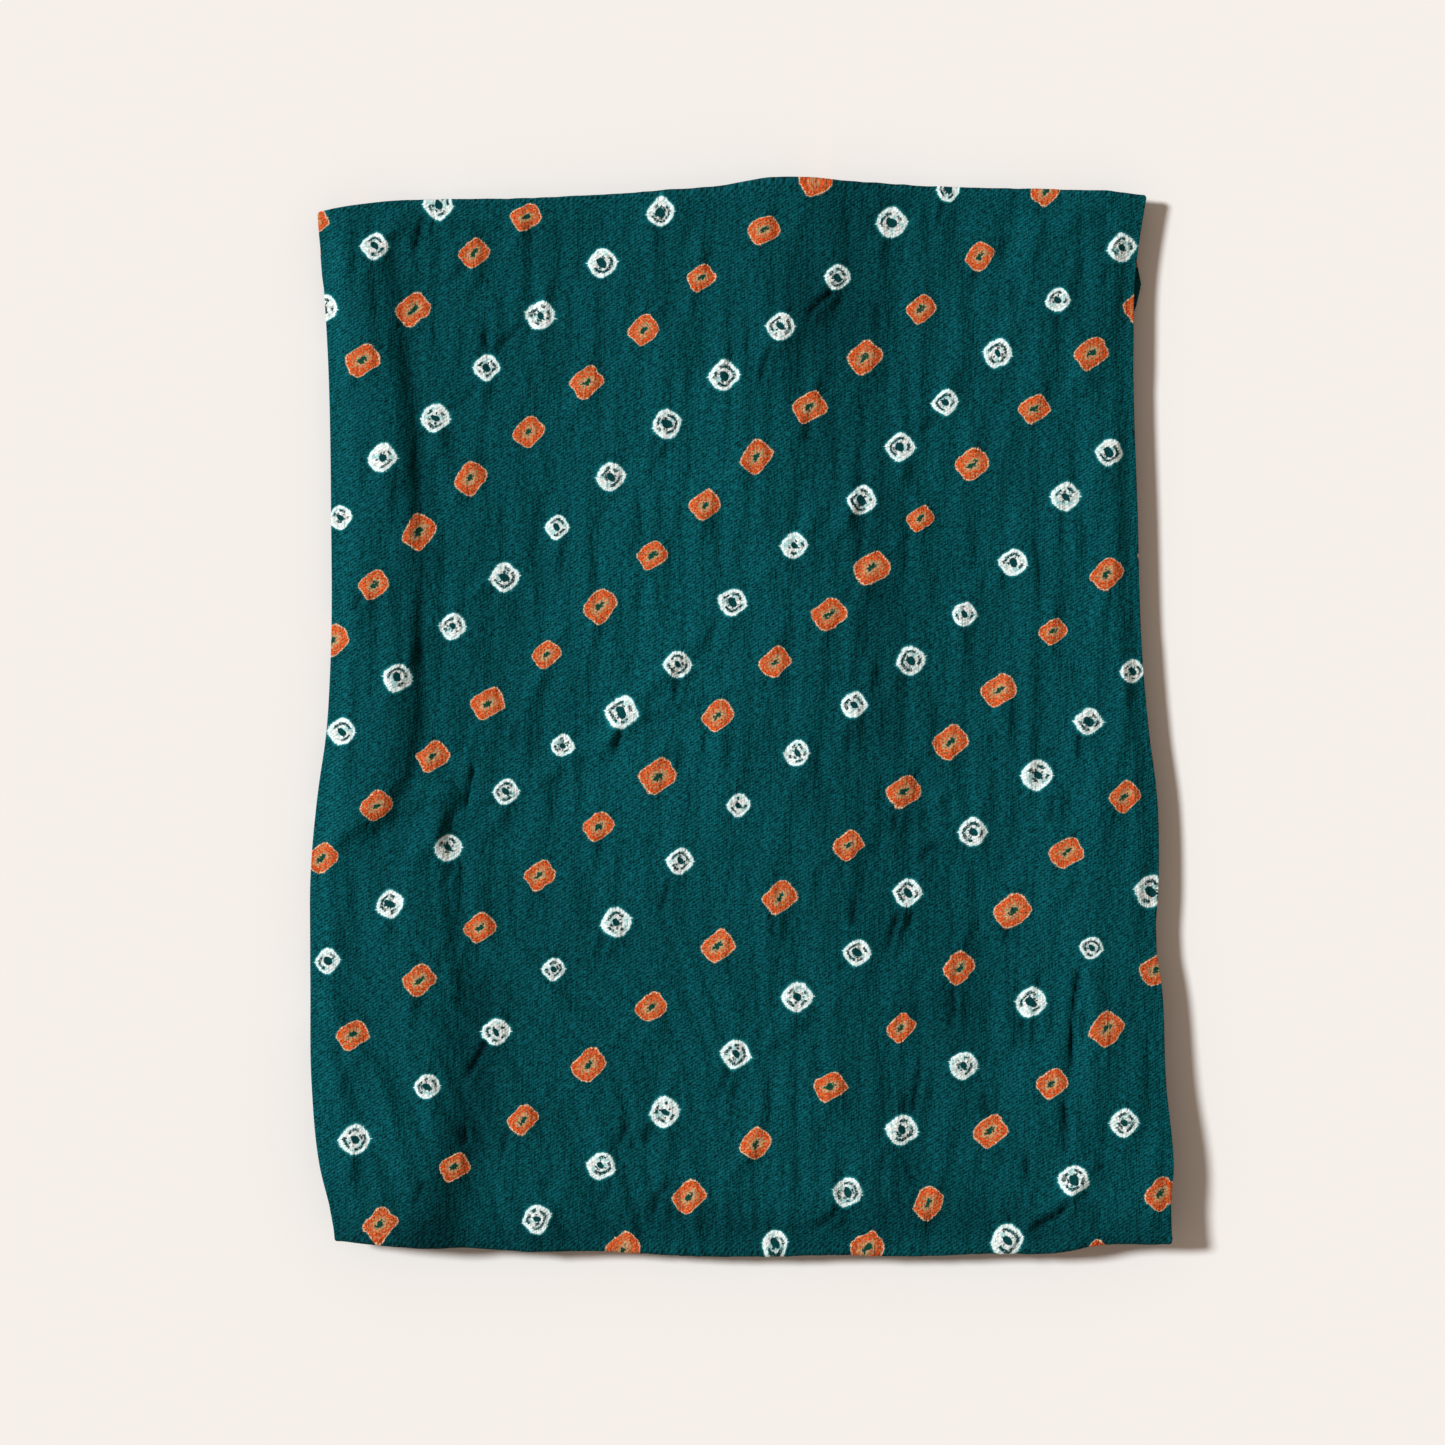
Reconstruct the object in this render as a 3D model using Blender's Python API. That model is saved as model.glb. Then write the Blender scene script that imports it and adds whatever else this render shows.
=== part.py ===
"""A length of tie-dyed cloth, folded and lying flat.

The cloth was doubled twice across its width, which makes a strip four plies thick. The strip then
goes back and forth in five full layers and a short bottom one, and its last end is tucked in under
the top layer. The strip is modelled as one bent sheet: a middle surface, given its thickness.

X runs to the right and Y away from whoever looks down on it. The near end is at -Y, the far end at
+Y. The lengths in the tables are millimetres.
"""

import math
from collections import namedtuple

import bmesh
import bpy
import numpy as np

MM = 0.001
PLY = 0.26
PLIES = 4
STRIP = PLY * PLIES
LEAST_GAP = 0.4
PRESSED_FLAT = 0.05
BOTTOM_LAYER_END = 20.0
FLAP_END = 122.0
STEP_RUN = 16.0
TURN_STEPS = 6
CLOTH_COLOUR = (7, 66, 70)
CLOTH_ROUGHNESS = 0.85

# The outline of the top layer: its side edges at places along Y, and its end folds at places along X
Side = namedtuple("Side", "y left right")
SIDES = (
    Side(180, -143.0, 136.6),
    Side(165, -142.0, 134.0),
    Side(150, -140.6, 132.0),
    Side(125, -139.0, 131.3),
    Side(70, -137.8, 132.7),
    Side(18, -138.0, 134.5),
    Side(-5, -139.4, 136.6),
    Side(-25, -142.2, 139.1),
    Side(-55, -144.7, 139.7),
    Side(-75, -144.7, 138.7),
    Side(-90, -144.6, 140.7),
    Side(-122, -144.1, 142.0),
    Side(-149, -141.4, 144.4),
    Side(-168, -136.9, 143.4),
    Side(-180, -135.6, 144.8),
)
End = namedtuple("End", "x near far")
ENDS = (
    End(-146, -174.4, 169.6),
    End(-120, -175.4, 173.2),
    End(-95, -176.5, 174.0),
    End(-74, -177.9, 174.2),
    End(-46, -177.9, 175.3),
    End(-7, -178.9, 177.3),
    End(9, -178.6, 179.6),
    End(33, -178.2, 178.9),
    End(56, -179.6, 178.5),
    End(84, -178.7, 177.7),
    End(106, -178.5, 177.2),
    End(121, -175.8, 176.5),
    End(146, -175.9, 175.2),
)

# The height of the stack where nothing swells on top of it, at three places across
Height = namedtuple("Height", "y left middle right")
HEIGHTS = (
    Height(180, 9.0, 8.6, 8.4),
    Height(90, 8.2, 7.8, 7.8),
    Height(0, 8.6, 8.2, 8.2),
    Height(-90, 10.0, 8.8, 10.0),
    Height(-150, 13.0, 9.8, 13.2),
    Height(-180, 14.6, 10.2, 14.4),
)

# Soft swells in the top layer: each has a straight crest, and falls away to both sides of it
Swell = namedtuple("Swell", "name x_far y_far x_near y_near left_run right_run height")
SWELLS = (
    Swell("band along the left edge", -121.0, 178.0, -117.0, -24.0, 26.0, 9.0, 2.6),
    Swell("wedge where that band ends", -122.0, -36.0, -88.0, -22.0, 14.0, 12.0, 1.5),
    Swell("band below the wedge", -116.0, -62.0, -106.0, -178.0, 30.0, 17.0, 2.1),
    Swell("broad swell, far half", 24.0, 182.0, 6.0, 62.0, 100.0, 42.0, 1.7),
    Swell("broad swell, near half", 36.0, 36.0, 34.0, -172.0, 120.0, 36.0, 1.6),
    Swell("low rise on the right", 112.0, 120.0, 118.0, -120.0, 40.0, 24.0, 0.8),
)
SWELL_END_FADE = 30.0
SIDE_FADE = 14.0

# How far each layer's side edges are set back from the top layer's, and how its edges wander
Layer = namedtuple("Layer", "name left_far left_near right_far right_near phase swell_share")
LAYERS = (
    Layer("short bottom layer", 2.4, 1.6, 3.0, 2.2, 0.4, 0.0),
    Layer("second", 1.0, 2.6, 1.4, 3.0, 1.9, 0.0),
    Layer("third", 2.4, 0.8, 2.8, 1.2, 3.1, 0.08),
    Layer("fourth", 0.9, 1.8, 0.9, 2.6, 4.4, 0.25),
    Layer("fifth", 0.2, 1.2, 1.6, 0.9, 5.6, 0.5),
    Layer("top", 0.0, 0.0, 0.0, 0.0, 0.0, 1.0),
    Layer("tucked flap", 1.2, 3.2, 1.6, 4.2, 2.6, 0.8),
)
TOP, FLAP = 5, 6
WANDER = 0.5
FIFTH = 4
FIFTH_BULGE_AT, FIFTH_BULGE_RUN, FIFTH_BULGE_BY = 146.0, 16.0, 4.6

# The folds where one layer turns into the next, and how far they are set back from the outline
Turn = namedtuple("Turn", "end before after back_left back_right")
TURNS = (
    Turn("near", 0, 1, 3.2, 1.6),
    Turn("far", 1, 2, 1.6, 3.0),
    Turn("near", 2, 3, 1.0, 2.6),
    Turn("far", 3, 4, 0.2, 2.0),
    Turn("near", 4, TOP, 0.0, 0.0),
    Turn("far", TOP, FLAP, 0.0, 0.0),
)

# Where the mesh has its rows and columns. They are closer at the left band and at the free ends
COLUMNS = np.array(
    (0, 0.03, 0.065, 0.1, 0.125, 0.16, 0.22, 0.32, 0.43, 0.54, 0.62, 0.7, 0.79, 0.88, 0.95, 1.0)
)
ROWS = (-164, -145, -120, -95, -75, -58, -42, -28, -14, 2, 20, 36, 56, 80, 106, 122, 142, 162)


def smooth_through(places, values, at):
    """A smooth curve through the table's values, read at the given places."""
    order = np.argsort(places)
    places, values = np.array(places, float)[order], np.array(values, float)[order]
    slopes = np.gradient(values, places)
    at = np.clip(at, places[0], places[-1])
    i = np.clip(np.searchsorted(places, at) - 1, 0, len(places) - 2)
    span = places[i + 1] - places[i]
    t = (at - places[i]) / span
    start = (1 + 2 * t) * (1 - t) ** 2 * values[i] + t * (1 - t) ** 2 * span * slopes[i]
    end = t * t * (3 - 2 * t) * values[i + 1] + t * t * (t - 1) * span * slopes[i + 1]
    return start + end


def column(table, name, key, at):
    """One named column of a table, as a smooth curve over its key column."""
    return smooth_through([getattr(row, key) for row in table], [getattr(row, name) for row in table], at)


def ease(t):
    """Rises smoothly from 0 to 1 as t goes from 0 to 1."""
    t = np.clip(t, 0.0, 1.0)
    return t * t * (3 - 2 * t)


def side_edges(y, layer):
    """The left and right edge of a layer at y."""
    toward_far = np.clip((y + 180.0) / 360.0, 0.0, 1.0)
    row = LAYERS[layer]
    left = column(SIDES, "left", "y", y) + row.left_near + (row.left_far - row.left_near) * toward_far
    right = column(SIDES, "right", "y", y) - row.right_near - (row.right_far - row.right_near) * toward_far
    if layer != TOP:
        wave = WANDER * (np.sin(y / 13.0 + row.phase) + 0.6 * np.sin(y / 5.1 + 2.3 * row.phase))
        left, right = left + wave, right + wave[::-1]
    if layer == FIFTH:
        right = right + FIFTH_BULGE_BY * ease(1 - np.abs(y - FIFTH_BULGE_AT) / FIFTH_BULGE_RUN)
    return left, right


def swell_height(x, y):
    """How far the swells lift the top layer at x, y."""
    total = np.zeros(np.broadcast(x, y).shape)
    for row in SWELLS:
        along = np.clip((row.y_far - y) / (row.y_far - row.y_near), 0.0, 1.0)
        crest = row.x_far + (row.x_near - row.x_far) * along
        run = np.where(x < crest, row.left_run, row.right_run)
        low, high = sorted((row.y_far, row.y_near))
        beyond = np.maximum(np.maximum(low - y, y - high), 0.0)
        end_fade = 1 - ease(beyond / SWELL_END_FADE)
        total = np.maximum(total, row.height * ease(1 - np.abs(x - crest) / run) * end_fade)
    return total


def middle_height(x, y, layer):
    """The height of a layer's middle surface at x, y."""
    across = np.array([-145.0, 0.0, 145.0])
    rows = [column(HEIGHTS, name, "y", y) for name in ("left", "middle", "right")]
    t = np.clip((x - across[0]) / (across[2] - across[0]), 0.0, 1.0)
    stack = rows[1] + (rows[0] - rows[1]) * (1 - ease(2 * t)) + (rows[2] - rows[1]) * ease(2 * t - 1)
    over_bottom = 1 - ease((y - BOTTOM_LAYER_END - 1.0) / STEP_RUN)
    over_flap = ease((y - FLAP_END + STEP_RUN) / STEP_RUN)
    places = {0: 0.0, TOP: 4.0 + over_bottom + over_flap, FLAP: 4.0 + over_bottom}
    place = places.get(layer, layer - 1.0 + over_bottom)
    pitch = STRIP + LEAST_GAP
    top_place = 4.0 + over_bottom + over_flap
    slack = np.maximum(stack - STRIP - top_place * pitch, 0.0)
    return STRIP / 2 + place * pitch + slack * (place / top_place) ** 1.5


def surface(x, y, layer):
    """The same height with the layer's share of the swells, which die out at the side edges."""
    left, right = column(SIDES, "left", "y", y), column(SIDES, "right", "y", y)
    from_side = np.minimum(x - left, right - x)
    share = LAYERS[layer].swell_share * ease((from_side + 4.0) / SIDE_FADE)
    return middle_height(x, y, layer) + share * swell_height(x, y)


def across(y, layer):
    """The X of each column at y. The set-back of the edges dies out inwards."""
    left, right = side_edges(y, TOP)
    own_left, own_right = side_edges(y, layer)
    x = left + (right - left) * COLUMNS
    return x + (own_left - left) * (1 - COLUMNS) ** 6 + (own_right - right) * COLUMNS**6


def fold_line(turn):
    """For each column, the Y where the straight layers stop and the round of the fold starts."""
    side = 1.0 if turn.end == "far" else -1.0
    x = across(np.full(len(COLUMNS), side * 176.0), turn.after)
    reach = side * column(ENDS, turn.end, "x", x) - turn.back_left
    reach = reach - (turn.back_right - turn.back_left) * COLUMNS
    rise = np.abs(surface(x, side * reach, turn.after) - surface(x, side * reach, turn.before))
    return side * (reach - rise / 2 - STRIP / 2)


def layer_rows(layer, start, end):
    """Rows of points along one layer, from the line where it starts to the line where it ends."""
    forward = end.mean() > start.mean()
    inside = [y for y in ROWS if min(start.max(), end.max()) + 4 < y < max(start.min(), end.min()) - 4]
    inside = inside if forward else inside[::-1]
    rows = []
    for y in [start, *[np.full(len(COLUMNS), float(y)) for y in inside], end]:
        x = across(y, layer)
        rows.append(np.stack([x, y, surface(x, y, layer)], axis=1))
    return rows


def turn_rows(before, after, side):
    """Rows of points round a fold, from the last row of one layer to the first of the next."""
    middle, half = (before + after) / 2, (after - before) / 2
    radius = np.abs(half[:, 2])
    rows = []
    for step in range(1, TURN_STEPS):
        angle = math.pi * step / TURN_STEPS
        row = middle - half * math.cos(angle)
        row[:, 1] += side * radius * math.sin(angle)
        rows.append(row)
    return rows


def strip_rows():
    """All rows of the middle surface, from the free end under the stack to the tucked one."""
    folds = [fold_line(turn) for turn in TURNS]
    start = np.full(len(COLUMNS), BOTTOM_LAYER_END) + 3.0 * (COLUMNS - 0.5)
    rows = []
    for turn, fold in zip(TURNS, folds):
        layer = layer_rows(turn.before, start, fold)
        if rows:
            rows += turn_rows(rows[-1], layer[0], side)
        rows += layer
        start, side = fold, (1.0 if turn.end == "far" else -1.0)
    flap_end = np.full(len(COLUMNS), FLAP_END) - 4.0 * COLUMNS
    layer = layer_rows(FLAP, start, flap_end)
    return rows + turn_rows(rows[-1], layer[0], side) + layer


def cloth_material():
    """Dyed cotton-like cloth: one plain colour, hardly any shine."""
    material = bpy.data.materials.new("teal_cloth")
    material.use_nodes = True
    shader = material.node_tree.nodes["Principled BSDF"]
    linear = [((c / 255 + 0.055) / 1.055) ** 2.4 if c > 10 else c / 255 / 12.92 for c in CLOTH_COLOUR]
    shader.inputs["Base Color"].default_value = (*linear, 1.0)
    shader.inputs["Roughness"].default_value = CLOTH_ROUGHNESS
    shader.inputs["Metallic"].default_value = 0.0
    return material


def folded_cloth():
    """The whole strip as one closed solid."""
    shape = bmesh.new()
    rows = [[shape.verts.new(point * MM) for point in row] for row in strip_rows()]
    for one, two in zip(rows, rows[1:]):
        for i in range(len(COLUMNS) - 1):
            shape.faces.new((one[i], one[i + 1], two[i + 1], two[i]))
    bmesh.ops.recalc_face_normals(shape, faces=shape.faces)
    mesh = bpy.data.meshes.new("folded_cloth")
    shape.to_mesh(mesh)
    shape.free()
    cloth = bpy.data.objects.new("folded_cloth", mesh)
    bpy.context.collection.objects.link(cloth)
    mesh.materials.append(cloth_material())
    thickness = cloth.modifiers.new("thickness", "SOLIDIFY")
    thickness.thickness = STRIP * MM
    thickness.offset = 0.0
    thickness.use_even_offset = True
    return cloth


def set_down(cloth):
    """Gives the sheet its thickness, centres the solid's box over the origin and presses it flat below."""
    sheet = cloth.data
    solid = bpy.data.meshes.new_from_object(cloth.evaluated_get(bpy.context.evaluated_depsgraph_get()))
    points = np.array([vertex.co for vertex in solid.vertices])
    middle = (points.min(axis=0) + points.max(axis=0)) / 2
    for vertex in solid.vertices:
        vertex.co.x -= middle[0]
        vertex.co.y -= middle[1]
        if vertex.co.z < PRESSED_FLAT * MM:
            vertex.co.z = 0.0
    cloth.modifiers.clear()
    cloth.data = solid
    bpy.data.meshes.remove(sheet)
    solid.name = "folded_cloth"


for thing in list(bpy.data.objects):
    bpy.data.objects.remove(thing)
set_down(folded_cloth())
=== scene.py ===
"""The looks of a length of tie-dyed cloth, folded back and forth and lying flat on a pale floor.

The cloth is one thin sheet. It was doubled twice across its width, which makes a strip of four plies,
and the strip goes back and forth in a short bottom layer and five full ones. Its last end is tucked in
under the top layer. The sheet is made as one closed mesh: the cross-section of the four plies is swept
along the strip's path, finely where it shows and coarsely between the layers.

X runs to the right, Y to the far end and Z up. Lengths are millimetres until a mesh is made.
"""

import math
from collections import namedtuple
from functools import partial

import bpy
import numpy as np
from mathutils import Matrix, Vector, kdtree


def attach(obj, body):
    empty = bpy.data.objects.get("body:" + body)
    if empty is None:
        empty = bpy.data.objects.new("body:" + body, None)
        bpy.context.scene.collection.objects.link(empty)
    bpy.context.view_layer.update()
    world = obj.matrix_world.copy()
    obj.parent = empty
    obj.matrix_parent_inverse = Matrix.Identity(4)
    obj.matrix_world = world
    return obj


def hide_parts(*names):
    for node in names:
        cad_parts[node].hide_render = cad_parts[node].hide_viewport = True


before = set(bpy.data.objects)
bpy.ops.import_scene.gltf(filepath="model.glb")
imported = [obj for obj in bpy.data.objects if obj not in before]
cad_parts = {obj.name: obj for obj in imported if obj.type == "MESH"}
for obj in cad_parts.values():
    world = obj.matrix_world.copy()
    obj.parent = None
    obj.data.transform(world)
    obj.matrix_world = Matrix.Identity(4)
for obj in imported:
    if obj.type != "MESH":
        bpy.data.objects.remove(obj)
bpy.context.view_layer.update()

MM = 0.001
SEED = 11
rng = np.random.default_rng(SEED)


def table(columns, *rows):
    """Rows whose values can be read by the names of their columns."""
    named = namedtuple("Row", columns)
    return [named(*row) for row in rows]


# The cloth's sizes. A ply of cloth is thinner than its share of the strip, so that the plies stay apart
SHARE = 0.26
PLY = 0.20
PLIES = 4
STRIP = SHARE * PLIES
LEAST_GAP = 0.4
HALF_LENGTH = 180.0
# The strip's two ends, how far their lines run askew, and the run over which a layer steps over an end
BOTTOM_END, BOTTOM_END_SKEW = 20.0, 3.0
FLAP_END, FLAP_END_SKEW = 122.0, 4.0
STEP_RUN, STEP_CLEARS = 30.0, 1.0

# The outline of the top layer: its side edges at places along Y, and its end folds at places along X
SIDES = table(
    "y left right",
    (180, -143.0, 136.6), (165, -142.0, 134.0), (150, -140.6, 132.0), (125, -139.0, 131.3),
    (70, -137.8, 132.7), (18, -138.0, 134.5), (-5, -139.4, 136.6), (-25, -142.2, 139.1),
    (-55, -144.7, 139.7), (-75, -144.7, 138.7), (-90, -144.6, 140.7), (-122, -144.1, 142.0),
    (-149, -141.4, 144.4), (-168, -136.9, 143.4), (-180, -135.6, 144.8),
)
ENDS = table(
    "x near far",
    (-146, -174.4, 169.6), (-120, -175.4, 173.2), (-95, -176.5, 174.0), (-74, -177.9, 174.2),
    (-46, -177.9, 175.3), (-7, -178.9, 177.3), (9, -178.6, 179.6), (33, -178.2, 178.9),
    (56, -179.6, 178.5), (84, -178.7, 177.7), (106, -178.5, 177.2), (121, -175.8, 176.5),
    (146, -175.9, 175.2),
)

# The height of the stack where nothing swells on top of it: left, in the middle and right, and how far
# across the outer two of those are
HEIGHTS = table(
    "y left middle right",
    (180, 9.0, 8.6, 8.4), (90, 8.2, 7.8, 7.8), (0, 8.6, 8.2, 8.2),
    (-90, 10.0, 8.8, 10.0), (-150, 13.0, 9.8, 13.2), (-180, 14.6, 10.2, 14.4),
)
HEIGHTS_AT = (-145.0, 145.0)
# The room to spare in the stack goes more to the upper layers
SLACK_POWER = 1.5

# How far each layer's side edges are set back from the top layer's, and where its wandering starts
LAYERS = table(
    "name left_far left_near right_far right_near phase",
    ("short bottom layer", 2.4, 1.6, 3.0, 2.2, 0.4),
    ("second", 1.0, 2.6, 1.4, 3.0, 1.9),
    ("third", 2.4, 0.8, 2.8, 1.2, 3.1),
    ("fourth", 0.9, 1.8, 0.9, 2.6, 4.4),
    ("fifth", 0.2, 1.2, 1.6, 0.9, 5.6),
    ("top", 0.0, 0.0, 0.0, 0.0, 0.0),
    ("tucked flap", 1.2, 3.2, 1.6, 4.2, 2.6),
)
BOTTOM, FIFTH, TOP, FLAP = 0, 4, 5, 6
FIFTH_BULGE_AT, FIFTH_BULGE_RUN, FIFTH_BULGE_BY = 146.0, 16.0, 4.6

# A wandering edge is a few waves: how far each goes, over what run, and where in the wave it starts
Wave = namedtuple("Wave", "far run start")
FIRST_SELVAGE_WAVES = (Wave(0.7, 17.0, 0.0), Wave(0.4, 6.3, 1.0))
SECOND_SELVAGE_WAVES = (Wave(0.8, 23.0, 2.0), Wave(0.4, 7.1, 0.0))
INNER_FOLD_WAVES = (Wave(0.3, 19.0, 0.7),)

# The folds where one layer turns into the next, and how far they are set back from the outline
TURNS = table(
    "end before after back_left back_right",
    ("near", 0, 1, 3.2, 1.6),
    ("far", 1, 2, 1.6, 3.0),
    ("near", 2, 3, 1.0, 2.6),
    ("far", 3, 4, 0.2, 2.0),
    ("near", 4, TOP, 0.0, 0.0),
    ("far", TOP, FLAP, 0.0, 0.0),
)
TURNS_AT = 176.0

# Long soft folds of the top layer. Each has a crest, given from far to near, and falls away to its left
# and right over different runs, because the cloth leans over to one side of a crest. A crisp one falls
# away ever more steeply to its right and ends there in a sharp foot
RIDGES = table(
    "name crest left_run right_run height end_fade crisp",
    (
        "roll along the left edge",
        (
            (-126.5, 150), (-123.7, 132), (-120, 107), (-117.7, 80),
            (-116.8, 24), (-117.2, 2), (-118.5, -10), (-124, -28),
        ),
        24.0, 9.8, 3.5, 16.0, True,
    ),
    (
        "band below the wedge",
        ((-108, -48), (-106, -80), (-104, -112), (-104, -145), (-106, -178)),
        30.0, 15.0, 2.3, 22.0, False,
    ),
    ("broad swell, far half", ((22, 182), (8, 138), (3, 110), (8, 76)), 100.0, 46.0, 3.3, 40.0, False),
    ("broad swell, near half", ((28, 70), (32, 30), (26, -40), (24, -178)), 110.0, 40.0, 2.5, 40.0, False),
    ("low rise, right", ((114, 150), (112, 60), (116, -30), (114, -130)), 34.0, 26.0, 1.6, 30.0, False),
)
CRISP_POWER = 2.1

# Short creases, in any direction. The lit run is on the side that faces the light, the shade run on the
# other. A height below nought is a trough
CREASES = table(
    "name points lit shade height",
    ("end of the roll", ((-124, -24), (-133, -44)), 12.0, 6.0, 0.9),
    ("wedge", ((-143, -44), (-121, -31), (-92, -21)), 10.0, 5.5, 1.6),
    ("pinch beside the wedge", ((-90, -17), (-92, -30)), 2.2, 2.2, -1.9),
    ("below the wedge", ((-97, -26), (-105, -43)), 9.0, 4.0, 2.2),
    ("fold on from the roll", ((-101, -36), (-100, -66), (-96, -92)), 5.0, 3.5, 1.1),
    ("right of the middle", ((68, -80), (72, -112)), 24.0, 12.0, 2.2),
    ("near the middle of the near edge", ((46, -142), (49, -168)), 14.0, 11.0, 1.5),
    ("pressed line, far", ((-34, 1.3), (-14, 8), (6, 13), (13, 14.7), (53, 18)), 4.0, 2.6, 0.8),
    ("pressed line, middle", ((-61, -37), (-12, -42), (33, -43), (80, -40.5)), 4.0, 2.6, 0.65),
    ("pressed line, near", ((-21, -94), (33, -96), (93, -94)), 4.0, 2.6, 0.65),
    ("right side, near", ((119, -84), (116, -112), (114, -144)), 6.0, 8.0, 1.2),
    ("right side, middle", ((98, 52), (97, 18), (96, -18)), 8.0, 3.2, 1.2),
    ("right side, far", ((100, 157), (97, 100), (96, 60)), 14.0, 6.0, 1.0),
    ("right edge", ((124, 150), (125, 60), (128, -20)), 10.0, 6.0, 0.6),
    ("near right corner", ((118, -150), (110, -159), (92, -172.5)), 5.0, 4.0, 1.3),
    ("far right corner", ((122, 174), (98, 160), (84, 140)), 8.0, 6.0, 1.0),
    ("short, right of the middle", ((60, -31.5), (71, -23)), 4.0, 3.0, 0.9),
    ("short, near", ((9, -109), (23, -99)), 4.0, 3.0, 0.9),
    ("short, far", ((19, 130), (29.5, 144)), 4.0, 3.0, 0.6),
    ("beside the roll", ((-66, 73), (-66, 30)), 5.0, 5.0, -0.9),
    ("across the middle, upper", ((-40, 2), (-25, 16), (-12, 30)), 6.0, 4.0, 1.0),
    ("across the middle, lower", ((-92, -26), (-70, -22), (-48, -8), (-34, 1.3)), 6.0, 4.0, 1.0),
    ("lower left, first", ((-138, -96), (-122, -120), (-112, -150)), 8.0, 5.0, 1.2),
    ("lower left, second", ((-84, -104), (-72, -128), (-66, -152)), 8.0, 5.0, 1.1),
    ("near edge, left", ((-128, -166), (-96, -171), (-62, -172)), 5.0, 5.0, 0.9),
    ("near edge, middle", ((-30, -160), (-8, -168), (22, -166)), 6.0, 5.0, 0.9),
    ("far edge, left", ((-118, 164), (-84, 168), (-48, 164)), 6.0, 4.0, 0.9),
)

# Sharp creases, most of which run out from a tie: how deep each one is, and its points from its deep end
SHARP_CREASES = (
    (0.8, (-85.4, 123.5), (-85.8, 132)),
    (1.2, (-84, 121.5), (-79.5, 126.3), (-71, 135.5)),
    (0.8, (-88, 113.5), (-92.5, 107.6), (-99, 101.5)),
    (0.7, (-92.5, 152.5), (-100, 144)),
    (1.0, (-27.5, 96), (-31.5, 86)),
    (1.3, (-106.5, 170), (-108, 163), (-110, 153)),
    (0.9, (-127.5, 42), (-130.5, 33)),
    (1.2, (-21, 17), (-21.6, 11), (-22.8, 4)),
    (1.0, (-40.2, -2.5), (-42.8, -13.5)),
    (0.8, (-75, -1), (-76.5, -13)),
    (1.0, (-97.4, -48), (-100.5, -58)),
    (1.0, (-24, -53), (-27.5, -66)),
    (0.8, (-60, 58), (-60.6, 45)),
    (1.6, (-84.8, -106.5), (-90.3, -116.2), (-94, -123)),
    (1.4, (-3.3, -115), (-5.6, -120.9), (-9.2, -129.5)),
    (1.2, (-22.5, -154), (-28.4, -159.2), (-30.6, -170)),
    (1.1, (-92.6, -142.5), (-93.2, -133)),
    (0.9, (-78.3, -136), (-80.5, -146)),
    (1.0, (-106, -153.5), (-110.5, -164)),
    (1.0, (-41, -143), (-37, -133)),
    (0.8, (-32.5, -142.5), (-28.5, -133)),
    (0.8, (-46.2, -72), (-48.6, -83)),
    (0.9, (-43.4, -153.5), (-46.5, -163)),
    (1.7, (31, 143.3), (25.3, 139.6), (22.5, 135.8), (21.2, 130.5)),
    (1.1, (9.4, 125), (6.7, 116.3), (6.3, 109)),
    (1.0, (106.2, 137.5), (104.5, 127)),
    (0.8, (45.2, 140), (45.6, 126)),
    (0.9, (22.2, 101), (21.4, 89)),
    (0.7, (78, 151), (77.3, 141.5)),
    (1.0, (67.6, 174), (64.5, 161)),
    (0.9, (65.5, 101.5), (58.5, 94.5)),
    (0.9, (103.8, -24.5), (103.7, -37.5)),
    (1.1, (51.8, -30.5), (50.2, -41)),
    (1.0, (59, -49), (61.5, -44.5), (69, -40)),
    (1.2, (112.8, -5), (113.6, -14)),
    (0.9, (35.9, -0.5), (35, -13)),
    (0.8, (20.6, -19), (22, -32.5)),
    (0.7, (36.8, 45), (34, 37.5)),
    (2.0, (113.6, -81.5), (111, -96), (110.3, -112), (109.6, -127)),
    (1.6, (108, -126.5), (108.4, -150)),
    (1.2, (94.2, -99.5), (92.6, -113)),
    (1.2, (88.8, -68), (88.6, -77)),
    (1.6, (53.2, -63), (49.7, -73), (48.2, -81)),
    (1.0, (37.5, -69.5), (37.3, -57)),
    (1.1, (9.9, -65), (10.4, -75.5)),
    (1.2, (70.2, -88.5), (70.6, -96.3), (69.8, -107)),
    (1.6, (56.8, -132.5), (58, -126), (61, -111)),
    (0.9, (54.2, -133), (54.4, -124)),
    (1.0, (81.4, -133), (81.2, -122)),
    (1.9, (110.4, -159.6), (106.5, -165.3), (98.1, -169.5), (91, -174)),
    (1.9, (33, -163.5), (27.3, -168), (23, -172.5)),
    (1.1, (116.8, -152), (123, -147.5)),
    (0.9, (55, -147), (57.5, -158)),
    (0.9, (95.2, -144), (95.9, -157)),
    (0.8, (85.6, -143.5), (88.5, -150)),
)
# How wide a sharp crease is, and how far from it and how wide its bank is, with the bank's share of the
# dip. Then the shares of its length over which it deepens and fades
SHARP_WIDE, BANK_AWAY, BANK_WIDE, BANK_SHARE = 1.05, 2.1, 1.4, 0.55
SHARP_STARTS, SHARP_ENDS = 0.12, 0.45

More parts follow.
